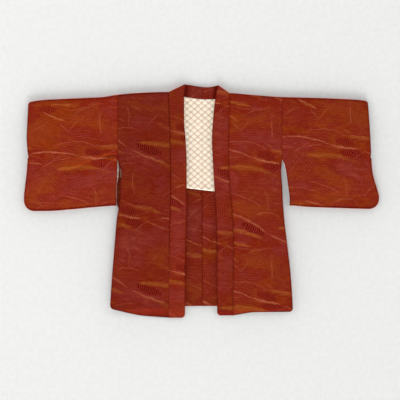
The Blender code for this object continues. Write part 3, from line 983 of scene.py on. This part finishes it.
def back_lining(side):
    """Half of the upper back lining, which shows between the collar bands above the facing."""
    cloth = Surface()
    neck_x = down(COLLAR_SEAM, side, SHOULDER_Y)
    neck = BAND_BACK[side]
    xs = [neck_x + SIGN[side] * LINING_UNDER_FRONT, neck_x, *[row.seam_x for row in neck]]
    ys = [neck[0].seam_y - LINING_OUTER_DROP, neck[0].seam_y - SEAM]
    ys += [row.seam_y - 2 * SEAM for row in neck]
    steps = np.cumsum([0, *np.abs(np.diff(xs))])
    places = spaced(steps[-1], FINE) * steps[-1]
    x = monotone(steps, xs, places)
    top = monotone(steps, ys, places)
    y = mix(top, facing_top(x) + SEAM, spaced(LINING_LONG, FINE)[:, None])
    x = np.broadcast_to(x, y.shape)
    to_hem = y - facing_top(x)
    centre = groove(x - CENTRE_X, SEAM_WITHIN)
    z = FACING_Z + LINING_PUFF * near(to_hem - LINING_PUFF_Y, LINING_PUFF_WITHIN)
    z = z - LINING_HEM_DEPTH * groove(to_hem, LINING_HEM_WITHIN) - LINING_SEAM_DEPTH * centre
    z = z + relief(x, y, LINING_CREASES)
    # Painted shade along the centre seam
    cloth.grid(x, y, z, (x, -y), LINING_SEAM_SHADE * centre)
    return cloth


def lining_strip(strip):
    """A strip of lining just inside an open edge, showing a little past it."""
    cloth = Surface()
    rows = spaced(strip.top_y - strip.bottom_y, FINE)[:, None]
    y = mix(strip.top_y, strip.bottom_y, rows)
    shows = strip.shows * smoothstep(STRIP_HIDDEN_BELOW, STRIP_HIDDEN_BELOW + STRIP_EASES, y)
    edge = down(strip.edge, strip.side, y) - strip.inwards * shows
    x = edge + strip.inwards * STRIP_WIDTH * spaced(STRIP_WIDTH, FINE)
    cloth.grid(x, y, np.full_like(x, LOW_LINING_Z), (x, -y))
    return cloth


def collar_sections(side):
    """Sewn edge, free edge and upward direction along the collar, from the hem to the centre."""
    top, bottom = front_ends(side, 1)
    y = mix(bottom, top, spaced(FRONT_LONG, FINE, fine_start=corner_steps(HEM_CORNER)))
    lift = smoothstep(BAND_RISE_FROM_Y, top, y)
    seam_x = down(COLLAR_SEAM, side, y)
    free_y = y + lift * (BAND_PEAK_Y[side] - BAND_PEAK_REACH - top)
    free_x = down(COLLAR_FREE_EDGE, side, free_y)
    free_x = free_x + SIGN[side] * corner_rise(HEM_CORNER, y - bottom)
    seam_drop = (SEAM_DEPTH - BAND_SEAM_SHALLOWER) * smoothstep(BACK_HEM_Y - SAG_ENDS, BACK_HEM_Y, y)
    seam_drop = seam_drop + PRESSED_DROP * near(top - y, PRESSED_WITHIN)
    seam_z = upper_z(seam_x, y, BAND_FRONT_Z, BAND_HEM_Z, seam_drop)
    free_z = upper_z(free_x, free_y, BAND_FRONT_Z, BAND_HEM_Z, BAND_FREE_DROP)
    seam = np.column_stack([seam_x, y + lift * SEAM, seam_z])
    free = np.column_stack([free_x, free_y, free_z])

    # Over the shoulder the band folds about the line from its sewn edge to its free edge
    angle = np.radians(np.linspace(0, 180, 2 * FOLD_STEPS + 1)[1:, None])
    turned = np.column_stack([0 * angle, np.sin(angle), np.cos(angle)])

    # Behind the neck it lies on its outer face
    rows = [(*seam[-1, :2], *free[-1, :2]), *BAND_BACK[side]]
    keys = np.linspace(0, 1, len(rows))
    at = spaced(BAND_NECK_LONG, FINE)[1:]
    neck = [monotone(keys, column, at) for column in zip(*rows)]
    flat = np.full_like(at, BAND_BACK_Z)
    edges = []
    for front, behind in ((seam, neck[:2]), (free, neck[2:])):
        radius = (front[-1, 2] - BAND_BACK_Z) / 2
        over = np.array([*front[-1, :2], BAND_BACK_Z + radius]) + turned * radius
        edges.append(np.concatenate([front, over, np.column_stack([*behind, flat])]))
    face_up, face_down = np.tile((0.0, 0.0, 1.0), (len(y), 1)), np.tile((0.0, 0.0, -1.0), (len(at), 1))
    return *edges, np.concatenate([face_up, turned, face_down]), len(y)


def collar(side):
    """Half of the collar: a strip folded lengthwise along its free edge, its raw edges sewn."""
    cloth = Surface()
    seam, free, up, fronts = collar_sections(side)
    width = np.linalg.norm(free - seam, axis=1)[:, None]
    direction = (free - seam) / width

    # Once round the folded strip: distance from the sewn edge, and height over its middle
    flat = spaced(BAND_WIDE, FINE, fine_end=(0,))
    turn = np.radians(np.linspace(0, 180, BAND_ROUND_STEPS + 1)[1:-1])
    out = flat * (width - BAND_HALF)
    rim = (width - BAND_HALF) + BAND_HALF * np.sin(turn)
    puffed = mix(BAND_SEWN_HALF, BAND_HALF, smoothstep(0, BAND_PUFFS_WITHIN, out))
    over_rim = np.tile(BAND_HALF * np.cos(turn), (len(width), 1))
    height = np.concatenate([puffed, over_rim, -puffed[:, ::-1]], axis=1)
    distance = np.concatenate([out, rim, out[:, ::-1]], axis=1)

    # Where each point lies on the strip
    panel = "collar_" + side
    along = []
    for edge in (seam, free):
        lengths = np.linalg.norm(np.diff(edge, axis=0), axis=1)
        run = on_panel(panel, edge[:, 0], edge[:, 1])[1]
        run[fronts:] = run[fronts - 1] - np.cumsum(lengths[fronts - 1 :])
        along.append(run[:, None])
    edge_over = on_panel(panel, seam[:, 0], seam[:, 1])[0]
    edge_over[fronts:] = edge_over[fronts - 1]
    unrolled = np.concatenate([out, np.tile(width, len(turn)), 2 * width - out[:, ::-1]], axis=1)
    over = edge_over[:, None] - SIGN[side] * unrolled
    along = mix(along[0], along[1], distance / width)
    place = [
        seam[:, None, k] + direction[:, None, k] * distance + up[:, None, k] * height
        for k in range(3)
    ]
    # Painted shade along the sewn edge and the rolled free edge, and in the folds behind the neck and
    # along its centre seam, with the whole neck part a little darker
    shade = down(COLLAR_SEAM_DARK, side, seam[:, 1:2]) * shaded(distance) * (height > 0)
    shade = shade + shaded(width - distance, BAND_RIM_SHADE, near)
    neck = shaded(place[0] - down(COLLAR_FREE_EDGE, side, place[1]), NECK_SHADE, near)
    centre = shaded(place[0] - CENTRE_X, CENTRE_SHADE) + NECK_DEEP[side]
    behind = np.arange(len(seam))[:, None] >= fronts
    shade = np.maximum(shade, behind * np.maximum(neck, centre))
    cloth.grid(*place, (over, along), shade)
    return cloth


def colour(red, green, blue):
    """A colour given as it shows on a screen, from 0 to 255, as the shader takes it."""
    linear = []
    for value in (red, green, blue):
        share = value / 255
        linear.append(share / 12.92 if share <= 0.04045 else ((share + 0.055) / 1.055) ** 2.4)
    return (*linear, 1.0)


class Value:
    """What comes out of a node. Sums and products with it are made by further nodes."""

    def __init__(self, nodes, socket):
        self.nodes = nodes
        self.socket = socket

    def __add__(self, other):
        return self.nodes.math("ADD", self, other)

    def __sub__(self, other):
        return self.nodes.math("SUBTRACT", self, other)

    def __rsub__(self, other):
        return self.nodes.math("SUBTRACT", other, self)

    def __mul__(self, other):
        return self.nodes.math("MULTIPLY", self, other)

    def __truediv__(self, other):
        return self.nodes.math("DIVIDE", self, other)

    def __rtruediv__(self, other):
        return self.nodes.math("DIVIDE", other, self)


class Nodes:
    """Short calls for the nodes of a material, a node group or the world."""

    def __init__(self, tree):
        self.tree = tree

    def new(self, kind, **settings):
        node = self.tree.nodes.new(kind)
        for key, value in settings.items():
            setattr(node, key, value)
        return node

    def put(self, socket, value):
        """Links a socket to a value, or writes a number or a screen colour into it."""
        if isinstance(value, Value):
            self.tree.links.new(value.socket, socket)
        else:
            socket.default_value = colour(*value) if isinstance(value, tuple) else value

    def make(self, kind, given, output=0, **settings):
        """One output of a new node, whose inputs are given by name, by number or in a row."""
        node = self.new(kind, **settings)
        pairs = given.items() if isinstance(given, dict) else enumerate(given)
        for key, value in pairs:
            self.put(node.inputs[key], value)
        return Value(self, node.outputs[output])

    def math(self, operation, *values, clamp=False):
        return self.make("ShaderNodeMath", values, operation=operation, use_clamp=clamp)

    def clamped(self, a, b):
        """A product kept between 0 and 1."""
        return self.math("MULTIPLY", a, b, clamp=True)

    def wave(self, turns):
        """A cosine that runs once through for each whole turn."""
        return self.math("COSINE", turns * TURN)

    def largest(self, values):
        return reduce(lambda a, b: self.math("MAXIMUM", a, b), values)

    def ramp(self, value, low, high, to_low=0.0, to_high=1.0):
        """Eases from one number to another as the value goes from low to high."""
        given = (value, low, high, to_low, to_high)
        return self.make("ShaderNodeMapRange", given, interpolation_type="SMOOTHSTEP")

    def blend(self, share, first, second, kind="MIX"):
        """Mixes two colours, which are the mix node's inputs 6 and 7 and its output 2."""
        given = {"Factor": share, 6: first, 7: second}
        return self.make("ShaderNodeMix", given, 2, data_type="RGBA", blend_type=kind)

    def paint(self, tone, *layers):
        """Lays layers over a tone, each with its share and its colour."""
        for share, layer in layers:
            tone = self.blend(share, tone, layer)
        return tone

    def noise(self, place, scale, detail=2.0, roughness=0.5):
        """Noise at a place, given as its vector and its fourth coordinate."""
        vector, fourth = place
        given = {"Vector": vector, "W": fourth, "Scale": scale, "Detail": detail, "Roughness": roughness}
        return self.make("ShaderNodeTexNoise", given, "Fac", noise_dimensions="4D")

    def kept(self, name, output="Fac"):
        """What the points of the mesh keep under a name."""
        return self.make("ShaderNodeAttribute", (), output, attribute_name=name)

    def split(self, vector):
        node = self.new("ShaderNodeSeparateXYZ")
        self.put(node.inputs[0], vector)
        return [Value(self, socket) for socket in node.outputs]


MOTIF_INPUTS = ("over", "along", "x", "y", "cos", "sin", "long", "wide", "bend")


def motif_group(draw, more_inputs, outputs):
    """A node group for one kind of motif, whose centre repeats all over the cloth."""
    nodes = Nodes(bpy.data.node_groups.new(draw.__name__, "ShaderNodeTree"))
    inputs = (*MOTIF_INPUTS, *more_inputs)
    for keys, way in ((inputs, "INPUT"), (outputs, "OUTPUT")):
        for key in keys:
            nodes.tree.interface.new_socket(key, in_out=way, socket_type="NodeSocketFloat")
    source, target = nodes.new("NodeGroupInput"), nodes.new("NodeGroupOutput")
    given = SimpleNamespace(**{key: Value(nodes, source.outputs[key]) for key in inputs})
    right = nodes.math("WRAP", given.over - given.x, PATTERN_WIDE / 2, -PATTERN_WIDE / 2)
    below = nodes.math("WRAP", given.along - given.y, PATTERN_LONG / 2, -PATTERN_LONG / 2)
    u = right * given.cos + below * given.sin
    v = below * given.cos - right * given.sin
    for key, value in zip(outputs, draw(nodes, given, u, v)):
        nodes.put(target.inputs[key], value)
    return nodes.tree


# A stroke's taper stays above nought, as its width is divided by it
LEAST_TAPER = 0.0001


def stroke(nodes, given, u, v):
    """A brush stroke that tapers to both ends, crisp above and soft below."""
    u = u / given.long
    squared = u * u
    taper = nodes.math("SQRT", nodes.math("MAXIMUM", 1 - squared, LEAST_TAPER))
    v = (v + given.bend * (1 - squared)) / given.wide / taper
    upper = nodes.ramp(v, -1, -0.55)
    lower = nodes.ramp(v, given.soft, 1.0, 1.0, 0.0)
    ends = nodes.ramp(squared, 0.55, 1.0, 1.0, 0.0)
    return [upper * lower * ends]


def arcs(nodes, given, u, v):
    """Nested arcs inside an oval; bend is how much they curve, and period their spacing."""
    lines = nodes.wave((u + given.bend * (v * v)) / given.period)
    u, v = u / given.long, v / given.wide
    inside = nodes.ramp(u * u + v * v, 0.45, 1.0, 1.0, 0.0)
    return [nodes.ramp(lines, given.thin, 1.0) * inside, inside]


def rings(nodes, given, u, v):
    """Concentric oval rings that fade outwards."""
    v = v * given.long / given.wide
    radius = nodes.math("SQRT", u * u + v * v)
    lines = nodes.ramp(nodes.wave(radius / given.period), 0.3, 1.0)
    return [lines * nodes.ramp(radius / given.long, 0.5, 1.0, 1.0, 0.0)]


# The motifs of the flowing-water weave, in millimetres from the start of the repeat:
# centre, direction, half length, half width, bend, and how strongly each is woven. Soft is
# where across a stroke its lower side starts to fade, period the distance from line to line,
# and thin how narrow the lines are. A half gives the one half of the body that a motif shows
# on, fully woven: -1 for the left and 1 for the right
Stroke = namedtuple("Stroke", "x y degrees long wide bend soft strength")
Arcs = namedtuple("Arcs", "x y degrees long wide bend period thin strength half", defaults=[0])
Rings = namedtuple("Rings", "x y degrees long wide period strength")

ORANGE_STROKES = chart(
    Stroke,
    (152, 29, 2, 64, 8, 3, -0.1, 0.9),
    (122, 77, 20, 38, 10, -2, -0.4, 0.6),
    (330, 187, 4, 60, 13, 4, -0.3, 0.8),
    (198, 266, -1, 88, 12, 7, 0.1, 0.9),
    (282, 272, 10, 44, 12, 0, -0.6, 0.3),
    (35, 390, 22, 34, 12, 0, -0.5, 0.5),
    (158, 512, 3, 96, 11, 10, 0.0, 0.95),
    (24, 461, -3, 92, 11, 3, 0.1, 0.95),
    (384, 522, 18, 46, 8, -4, -0.2, 0.7),
)
SALMON_STROKES = chart(
    Stroke,
    (110, 221, 2, 112, 3.4, 20, 0.3, 0.95),
    (120, 238, -16, 66, 2.6, 6, 0.3, 0.3),
    (183, 186, -2, 94, 3.0, 24, 0.3, 0.35),
    (258, 219, 2, 56, 5.4, -5, 0.1, 0.9),
    (378, 236, 10, 52, 3.6, -5, 0.3, 0.6),
    (106, 66, 22, 48, 4.2, -4, 0.2, 0.55),
    (60, 108, -33, 40, 2.8, 3, 0.3, 0.3),
    (146, 110, 40, 26, 3.0, 0, 0.3, 0.35),
    (176, 106, -54, 30, 3.0, 0, 0.3, 0.35),
    (236, 44, -22, 72, 2.8, 12, 0.3, 0.3),
    (286, 98, 88, 40, 3.6, -8, 0.3, 0.4),
    (92, 246, -37, 56, 2.8, 5, 0.3, 0.3),
    (66, 326, -60, 42, 2.6, 5, 0.3, 0.2),
    (315, 250, -40, 40, 2.6, 6, 0.3, 0.25),
    (310, 292, -2, 60, 2.4, -5, 0.3, 0.2),
    (104, 396, 4, 66, 2.8, 5, 0.3, 0.3),
    (182, 380, 14, 72, 3.0, 6, 0.3, 0.35),
    (262, 430, -6, 50, 3.2, 17, 0.3, 0.45),
    (356, 370, -56, 40, 2.8, 3, 0.3, 0.3),
    (256, 372, 86, 42, 3.0, 10, 0.3, 0.35),
    (182, 466, 19, 86, 6.5, 12, 0.0, 0.7),
    (340, 508, 12, 72, 5.0, -6, 0.2, 0.75),
    (300, 178, -2, 66, 2.8, 4, 0.3, 0.35),
)
DARK_ARCS = chart(
    Arcs,
    (82, 44, 2, 40, 18, -0.036, 7.8, -0.1, 0.75),
    (258, 202, 3, 42, 16, -0.038, 7.8, -0.1, 0.9),
    (286, 240, 2, 50, 18, 0.036, 7.8, -0.1, 1.0),
    (210, 484, 17, 50, 19, 0.03, 7.8, -0.1, 1.0, 1),
    (338, 484, 12, 54, 19, 0.03, 7.8, -0.1, 1.0, -1),
)
SOFT_ARCS = chart(
    Arcs,
    (304, 98, 0, 48, 78, 0.0055, 8.4, -0.3, 0.6),
    (232, 62, 68, 34, 84, 0.0012, 8.0, -0.3, 0.55),
    (178, 206, 90, 46, 112, -0.0017, 9.2, -0.3, 0.5),
    (90, 326, 40, 74, 88, 0.0022, 8.6, -0.3, 0.7),
    (92, 256, 56, 44, 74, -0.001, 8.4, -0.3, 0.6),
    (56, 120, 60, 54, 66, 0.0018, 9.0, -0.3, 0.5),
    (178, 142, 82, 40, 90, -0.0018, 8.6, -0.3, 0.45),
    (10, 300, 118, 54, 60, 0.0018, 8.8, -0.3, 0.5),
    (170, 430, 108, 56, 110, -0.0014, 9.0, -0.3, 0.55),
    (40, 500, 70, 60, 84, 0.0018, 8.6, -0.3, 0.5),
    (262, 470, 62, 48, 80, -0.0018, 8.6, -0.3, 0.4),
)
SOFT_RINGS = chart(
    Rings,
    (270, 344, -8, 150, 84, 8.8, 0.9),
    (44, 420, 12, 92, 48, 8.8, 0.5),
    (352, 150, 2, 70, 32, 8.4, 0.5),
)


def place_motifs(nodes, tree, table, over, along):
    """Places a motif for each row of its table, and joins them to one mask for each output."""
    placed = []
    for motif in table:
        node = nodes.new("ShaderNodeGroup", node_tree=tree)
        turn = math.radians(motif.degrees)
        values = dict(motif._asdict(), over=over, along=along, cos=math.cos(turn), sin=math.sin(turn))
        for socket in node.inputs:
            nodes.put(socket, values.get(socket.name, 0.0))
        strength = motif.strength
        if getattr(motif, "half", 0):
            strength = nodes.kept("half") * motif.half + 1
        placed.append([nodes.clamped(Value(nodes, mask), strength) for mask in node.outputs])
    return [nodes.largest(masks) for masks in zip(*placed)]


def repeat_place(nodes, over, along, stretch=1.0):
    """Place on the cloth wound round both ways, so that noise there repeats with the weave."""
    turns = []
    for value, size, scale in ((over, PATTERN_WIDE, stretch), (along, PATTERN_LONG, 1)):
        angle = value * (TURN / size)
        for operation in ("COSINE", "SINE"):
            turns.append(nodes.math(operation, angle) * (size * scale / TURN))
    return nodes.make("ShaderNodeCombineXYZ", turns[:3]), turns[3]


def new_material(name):
    material = bpy.data.materials.new(name)
    material.use_nodes = True
    return material, Nodes(material.node_tree), material.node_tree.nodes["Principled BSDF"]


def bolt_place(nodes):
    """Millimetres across and along the cloth, and how far the motifs' lean drops them there."""
    return [value * 1000 for value in nodes.split(nodes.kept("bolt", "Vector"))]


def bump(nodes, shader, *layers):
    """Chains bumps, each of a height, how strong it is and how far it reaches in metres."""
    below = {}
    for height, strength, distance in layers:
        given = {"Strength": strength, "Distance": distance, "Height": height, **below}
        below = {"Normal": nodes.make("ShaderNodeBump", given)}
    nodes.put(shader.inputs["Normal"], below["Normal"])


# Millimetres from thread to thread of the warp and the weft, and how much the weft stands out
SILK_THREADS = (0.5, 0.7)
LINING_THREADS = (0.4, 0.45)
WEFT_HEIGHT = 1.6


def threads(nodes, over, along, warp, weft):
    """Ribs of a plain weave: heights of its warp and weft threads, crossing over and under."""
    a = nodes.math("SINE", over * (TURN / warp))
    b = nodes.math("SINE", along * (TURN / weft))
    return (a + b * WEFT_HEIGHT) * 0.5


# Screen colours of the silk's ground, of what is woven on it, and of the faint bloom over all
RED = (135, 34, 15)
BROWN = (143, 50, 10)
PLUM = (140, 42, 34)
PALE = (154, 60, 44)
CONTOUR = (160, 68, 44)
SOFT_PINK = (162, 72, 56)
LENS_RED = (148, 38, 26)
DARK_RED = (78, 2, 1)
ORANGE = (168, 86, 34)
SALMON = (186, 98, 68)
BLOOM = (190, 120, 100)
BLOOM_SHARE = 0.012

# How much of the red, green and blue is lost in full painted shade, and how far the grain moves them
SHADE_DEPTHS = (0.42, 0.66, 0.82)
GRAIN_DEPTHS = (0.09, 0.3, 0.5)
LEAST_LIGHT = 0.04

# The noises of the silk: how far stretched along the cloth, how fine, how detailed and rough
Noise = namedtuple("Noise", "stretch scale detail roughness", defaults=[2.0, 0.5])

NOISES = {
    "drift": Noise(0.45, 0.012),
    "fine_drift": Noise(0.45, 0.06),
    "bends": Noise(0.45, 0.0085, 1.0, 0.4),
    "lines": Noise(1.0, 0.021, 1.0),
    "waver": Noise(1.0, 0.035),
    "jags": Noise(1.0, 0.11),
    "brush": Noise(0.22, 0.2, 3.0, 0.6),
    "slubs": Noise(0.12, 0.5, 3.0, 0.65),
    "grain": Noise(0.6, 0.2, 3.0, 0.7),
    "waves": Noise(1.0, 0.022),
}

# Contour lines in one repeat, and by how many of them the flow bends them
CONTOURS = 36
CONTOUR_BEND = 12

# How far motifs waver across and along the cloth, how jagged strokes are, and their comb's pitch
WAVER = (16, 13)
JAGS = 7
TEETH_PITCH = 5.0


def silk_material():
    """Red silk with a flowing-water weave, its motifs charted one by one."""
    material, nodes, shader = new_material("red_silk")
    over, along, dropped = bolt_place(nodes)
    noise = {}
    for name, kind in NOISES.items():
        place = repeat_place(nodes, over, along, kind.stretch)
        noise[name] = nodes.noise(place, kind.scale, kind.detail, kind.roughness)

    # The ground runs from orange-brown through red to plum in soft patches
    hue = nodes.kept("ground_hue") + nodes.ramp(noise["drift"], 0.3, 0.7, -0.6, 0.6)
    hue = hue + nodes.ramp(noise["fine_drift"], 0.3, 0.7, -0.5, 0.5)
    tone = nodes.paint(
        RED,
        (nodes.ramp(hue, -1.0, 0.0, 1.0, 0.0), BROWN),
        (nodes.ramp(hue, 0.0, 1.0), PLUM),
        (nodes.ramp(hue, 1.0, 2.0), PALE),
    )

    # Thin contour lines that run across the cloth and bend with the flow
    along_motifs = along - dropped
    phase = along_motifs * (CONTOURS / PATTERN_LONG) + noise["bends"] * CONTOUR_BEND
    lines = nodes.ramp(nodes.wave(phase), 0.4, 1.0)
    where = nodes.ramp(noise["lines"], 0.4, 0.66)
    faint = lines * (where * 0.5 + 0.04)

    # The motifs, drawn with a slight waver, and the strokes with jags as well
    waver = noise["waver"] - 0.5
    places = (over + waver * WAVER[0], along_motifs + waver * WAVER[1])
    stroke_places = (places[0], places[1] + (noise["jags"] - 0.5) * JAGS)
    strokes = motif_group(stroke, ["soft"], ["mask"])
    nested = motif_group(arcs, ["period", "thin"], ["mask", "inside"])
    ovals = motif_group(rings, ["period"], ["mask"])
    (orange,) = place_motifs(nodes, strokes, ORANGE_STROKES, *stroke_places)
    (salmon,) = place_motifs(nodes, strokes, SALMON_STROKES, *stroke_places)
    dark, lens = place_motifs(nodes, nested, DARK_ARCS, *places)
    soft_arcs, arcs_place = place_motifs(nodes, nested, SOFT_ARCS, *places)
    soft = nodes.largest([soft_arcs, *place_motifs(nodes, ovals, SOFT_RINGS, *places)])
    faint = nodes.clamped(faint, 1 - nodes.clamped(arcs_place, 1.5))
    teeth = nodes.math("COSINE", (over + along * 0.5) * (TURN / TEETH_PITCH))
    orange = nodes.clamped(orange, teeth * 0.1 + nodes.ramp(noise["brush"], 0.3, 0.66, 0.25, 1.0))
    salmon = nodes.clamped(salmon, nodes.ramp(noise["brush"], 0.3, 0.6, 0.45, 1.0))
    tone = nodes.paint(
        tone,
        (faint, CONTOUR),
        (soft * 0.52, SOFT_PINK),
        (lens * 0.8, LENS_RED),
        (dark, DARK_RED),
        (orange, ORANGE),
        (salmon, SALMON),
    )

    # Uneven threads, and painted shade along the seams, edges, folds and creases
    slubs = noise["slubs"]
    grain = nodes.ramp(noise["grain"], 0.25, 0.75, -1.0, 1.0)
    shade = nodes.kept("seam_shade")
    light = nodes.ramp(slubs, 0.25, 0.75, 0.7, 1.01) * nodes.kept("tone")
    channels = [
        light * nodes.math("MAXIMUM", 1 - shade * depth, LEAST_LIGHT) * (grain * grain_depth + 1)
        for depth, grain_depth in zip(SHADE_DEPTHS, GRAIN_DEPTHS)
    ]
    tone = nodes.blend(1.0, tone, nodes.make("ShaderNodeCombineColor", channels), kind="MULTIPLY")
    nodes.put(shader.inputs["Base Color"], nodes.blend(BLOOM_SHARE, tone, BLOOM))

    woven = nodes.largest([orange, salmon, soft * 0.4])
    rough = nodes.ramp(slubs, 0.2, 0.8, 0.58, 0.68) - woven * 0.12
    nodes.put(shader.inputs["Roughness"], rough)
    shader.inputs["Specular IOR Level"].default_value = 0.02
    shader.inputs["Specular Tint"].default_value = colour(255, 120, 80)
    shader.inputs["Sheen Weight"].default_value = 0.01
    shader.inputs["Sheen Roughness"].default_value = 0.5
    shader.inputs["Sheen Tint"].default_value = colour(200, 60, 30)
    bump(
        nodes,
        shader,
        (noise["waves"], 0.35, 0.006),
        (slubs, 0.25, 0.0006),
        (threads(nodes, over, along, *SILK_THREADS), 0.25, 0.00012),
    )
    return material


# The lining's lattice of diamonds, its screen colours, and the colour of painted shade along its seam
DIAMOND_WIDE = 27
DIAMOND_HIGH = 23
CREAM = (255, 247, 229)
CREAM_SHADE = (250, 214, 184)
LATTICE = (216, 180, 152)
CROSSING = (190, 154, 130)
DIAMOND_MARK = (246, 200, 186)
LINING_SHADE = (170, 135, 115)


def lining_material():
    """Cream lining silk with a soft tan lattice of diamonds."""
    material, nodes, shader = new_material("cream_lining")
    over, along, _ = bolt_place(nodes)
    even = repeat_place(nodes, over, along)
    a = over / DIAMOND_WIDE + (nodes.noise(even, 0.06, detail=1.0) - 0.5) * 0.3
    b = along / DIAMOND_HIGH
    parts = [nodes.math("FRACT", place) for place in (a + b, a - b)]
    shares = [nodes.math("ABSOLUTE", part - 0.5) for part in parts]
    lines = [nodes.ramp(share, 0.24, 0.47) for share in shares]
    centres = [nodes.ramp(share, 0.0, 0.12, 1.0, 0.0) for share in shares]
    either, crossing = nodes.largest(lines), lines[0] * lines[1]
    patchy = nodes.ramp(nodes.noise(even, 0.05), 0.3, 0.7, 0.6, 1.0)
    tone = nodes.paint(
        nodes.blend(nodes.ramp(parts[0] - parts[1], -0.9, 0.5, 0.45, 0.0), CREAM, CREAM_SHADE),
        (either * (patchy * 0.8), LATTICE),
        (crossing * 0.6, CROSSING),
        (centres[0] * centres[1] * 0.35, DIAMOND_MARK),
        # Painted shade along the lining's centre seam
        (nodes.kept("seam_shade") * 0.5, LINING_SHADE),
    )
    nodes.put(shader.inputs["Base Color"], tone)
    shader.inputs["Roughness"].default_value = 0.5
    shader.inputs["Specular IOR Level"].default_value = 0.06
    shader.inputs["Sheen Weight"].default_value = 0.05
    bump(
        nodes,
        shader,
        (nodes.noise(even, 0.03), 0.3, 0.004),
        (either - crossing, 0.2, 0.0003),
        (threads(nodes, over, along, *LINING_THREADS), 0.2, 0.0001),
    )
    return material


def floor_material():
    material, nodes, shader = new_material("pale_floor")
    place = nodes.make("ShaderNodeTexCoord", (), "Object")
    grain = nodes.noise((place, 0.0), 60, detail=3.0)
    tone = nodes.blend(nodes.ramp(grain, 0.3, 0.7), (230, 230, 229), (234, 234, 233))
    nodes.put(shader.inputs["Base Color"], tone)
    shader.inputs["Roughness"].default_value = 0.9
    shader.inputs["Specular IOR Level"].default_value = 0.0
    return material


# The floor, in metres, lies a hair below the cloth's lowest points
FLOOR_HALF = 4.0
FLOOR_Z = -0.00015


def make_floor():
    corners = [(x * FLOOR_HALF, y * FLOOR_HALF, FLOOR_Z) for x, y in ((-1, -1), (1, -1), (1, 1), (-1, 1))]
    mesh = bpy.data.meshes.new("floor")
    mesh.from_pydata(corners, [], [(0, 1, 2, 3)])
    mesh.materials.append(floor_material())
    in_scene("floor", mesh)


# The studio is brighter round its walls than overhead, so that thin cloth casts a soft shadow
SKY_GLOW = 0.6
SKY_FALL = 1.3
SKY_HIGH = 0.02
GLOW_FROM = 0.03
GLOW_FADES = (0.28, 0.5)
# Below the horizon it has the floor's own tone, so that the floor's far edge does not show
SKY_BELOW = 0.86
HORIZON = 0.002

# Lights, which look at the middle of the floor from a place in metres
Light = namedtuple("Light", "name kind place power")
LIGHTS = chart(
    Light,
    ("key", "AREA", (-2.0, 0.4, 3.6), 23),
    ("low", "SUN", (0.2, -3.6, 0.5), 4.0),
)
KEY_SIZE = 2.6
LOW_SPREAD = 12


def make_lights():
    world = bpy.data.worlds.new("soft_studio")
    bpy.context.scene.world = world
    world.use_nodes = True
    nodes = Nodes(world.node_tree)
    background = world.node_tree.nodes["Background"]
    up = nodes.split(nodes.make("ShaderNodeTexCoord", (), "Generated"))[2]
    height = nodes.math("MAXIMUM", up, GLOW_FROM)
    glow = SKY_GLOW / nodes.math("POWER", height, SKY_FALL)
    glow = glow * nodes.ramp(height, *GLOW_FADES, 1.0, 0.0)
    above = nodes.ramp(up, 0.0, HORIZON)
    below = nodes.ramp(up, 0.0, HORIZON, SKY_BELOW, 0.0)
    nodes.put(background.inputs["Strength"], (glow + SKY_HIGH) * above + below)
    background.inputs["Color"].default_value = (1.0, 1.0, 0.99, 1)
    for name, kind, place, power in LIGHTS:
        light = bpy.data.lights.new(name, kind)
        light.energy = power
        if kind == "SUN":
            light.angle = math.radians(LOW_SPREAD)
        else:
            light.size = KEY_SIZE
        lamp = in_scene(name, light)
        lamp.location = place
        lamp.rotation_euler = lamp.location.to_track_quat("Z", "Y").to_euler()


# The camera looks straight down, and its picture is as wide as this at the floor, in metres
PICTURE_WIDE = 1.5
PICTURE_CENTRE = (-0.0056, 0.00375)
CAMERA_HEIGHT = 3.0
SENSOR_WIDE = 36


def make_camera():
    camera = bpy.data.cameras.new("camera")
    camera.sensor_width = SENSOR_WIDE
    camera.lens = SENSOR_WIDE * CAMERA_HEIGHT / PICTURE_WIDE
    placed = in_scene("camera", camera)
    placed.location = (*PICTURE_CENTRE, CAMERA_HEIGHT)
    bpy.context.scene.camera = placed


# Each piece: its CAD node, slot, what it lies on, and the size that it was cut to
Piece = namedtuple("Piece", "node slot rests_on width length")
# A strip of lining is cut this much longer than it lies
STRIP_CUT_LONGER = 1.02


def put_down(surface, wall, material, facts):
    piece = surface.build(facts.node + "_cloth", wall, material)
    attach(piece, "root")
    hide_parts(facts.node)
    flat = (facts.width * MM, facts.length * MM)
    area = min(surface.area(), flat[0] * flat[1])


def main():
    silk, cream = silk_material(), lining_material()
    for side in SIGN:
        body, own_lining = "body_" + side + "_cloth", "lining_" + side + "_cloth"
        makers = (
            (body_panel, CLOTH, silk, Piece("body_" + side, "outer_silk", ["floor"], 345, 2070)),
            (sleeve, CLOTH, silk, Piece("sleeve_" + side, "outer_silk", ["floor"], 346, 830)),
            (gusset, LINING, silk, Piece("gusset_" + side, "outer_silk", [body], 60, 476)),
            (back_lining, LINING, cream, Piece("lining_" + side, "lining_silk", [body], 154, 365)),
            (collar, CLOTH, silk, Piece("collar_" + side, "collar_silk", [body, own_lining], 128, 980)),
        )
        for make, wall, material, facts in makers:
            put_down(make(side), wall, material, facts)
    for strip in LINING_STRIPS:
        under = ("body_" if strip.edge is SIDE_EDGE else "sleeve_") + strip.side + "_cloth"
        length = (strip.top_y - strip.bottom_y) * STRIP_CUT_LONGER
        facts = Piece(strip.name, "lining_silk", [under], STRIP_WIDTH, length)
        put_down(lining_strip(strip), LINING, cream, facts)


bpy.context.scene.view_settings.view_transform = "Standard"
make_floor()
make_lights()
make_camera()
main()
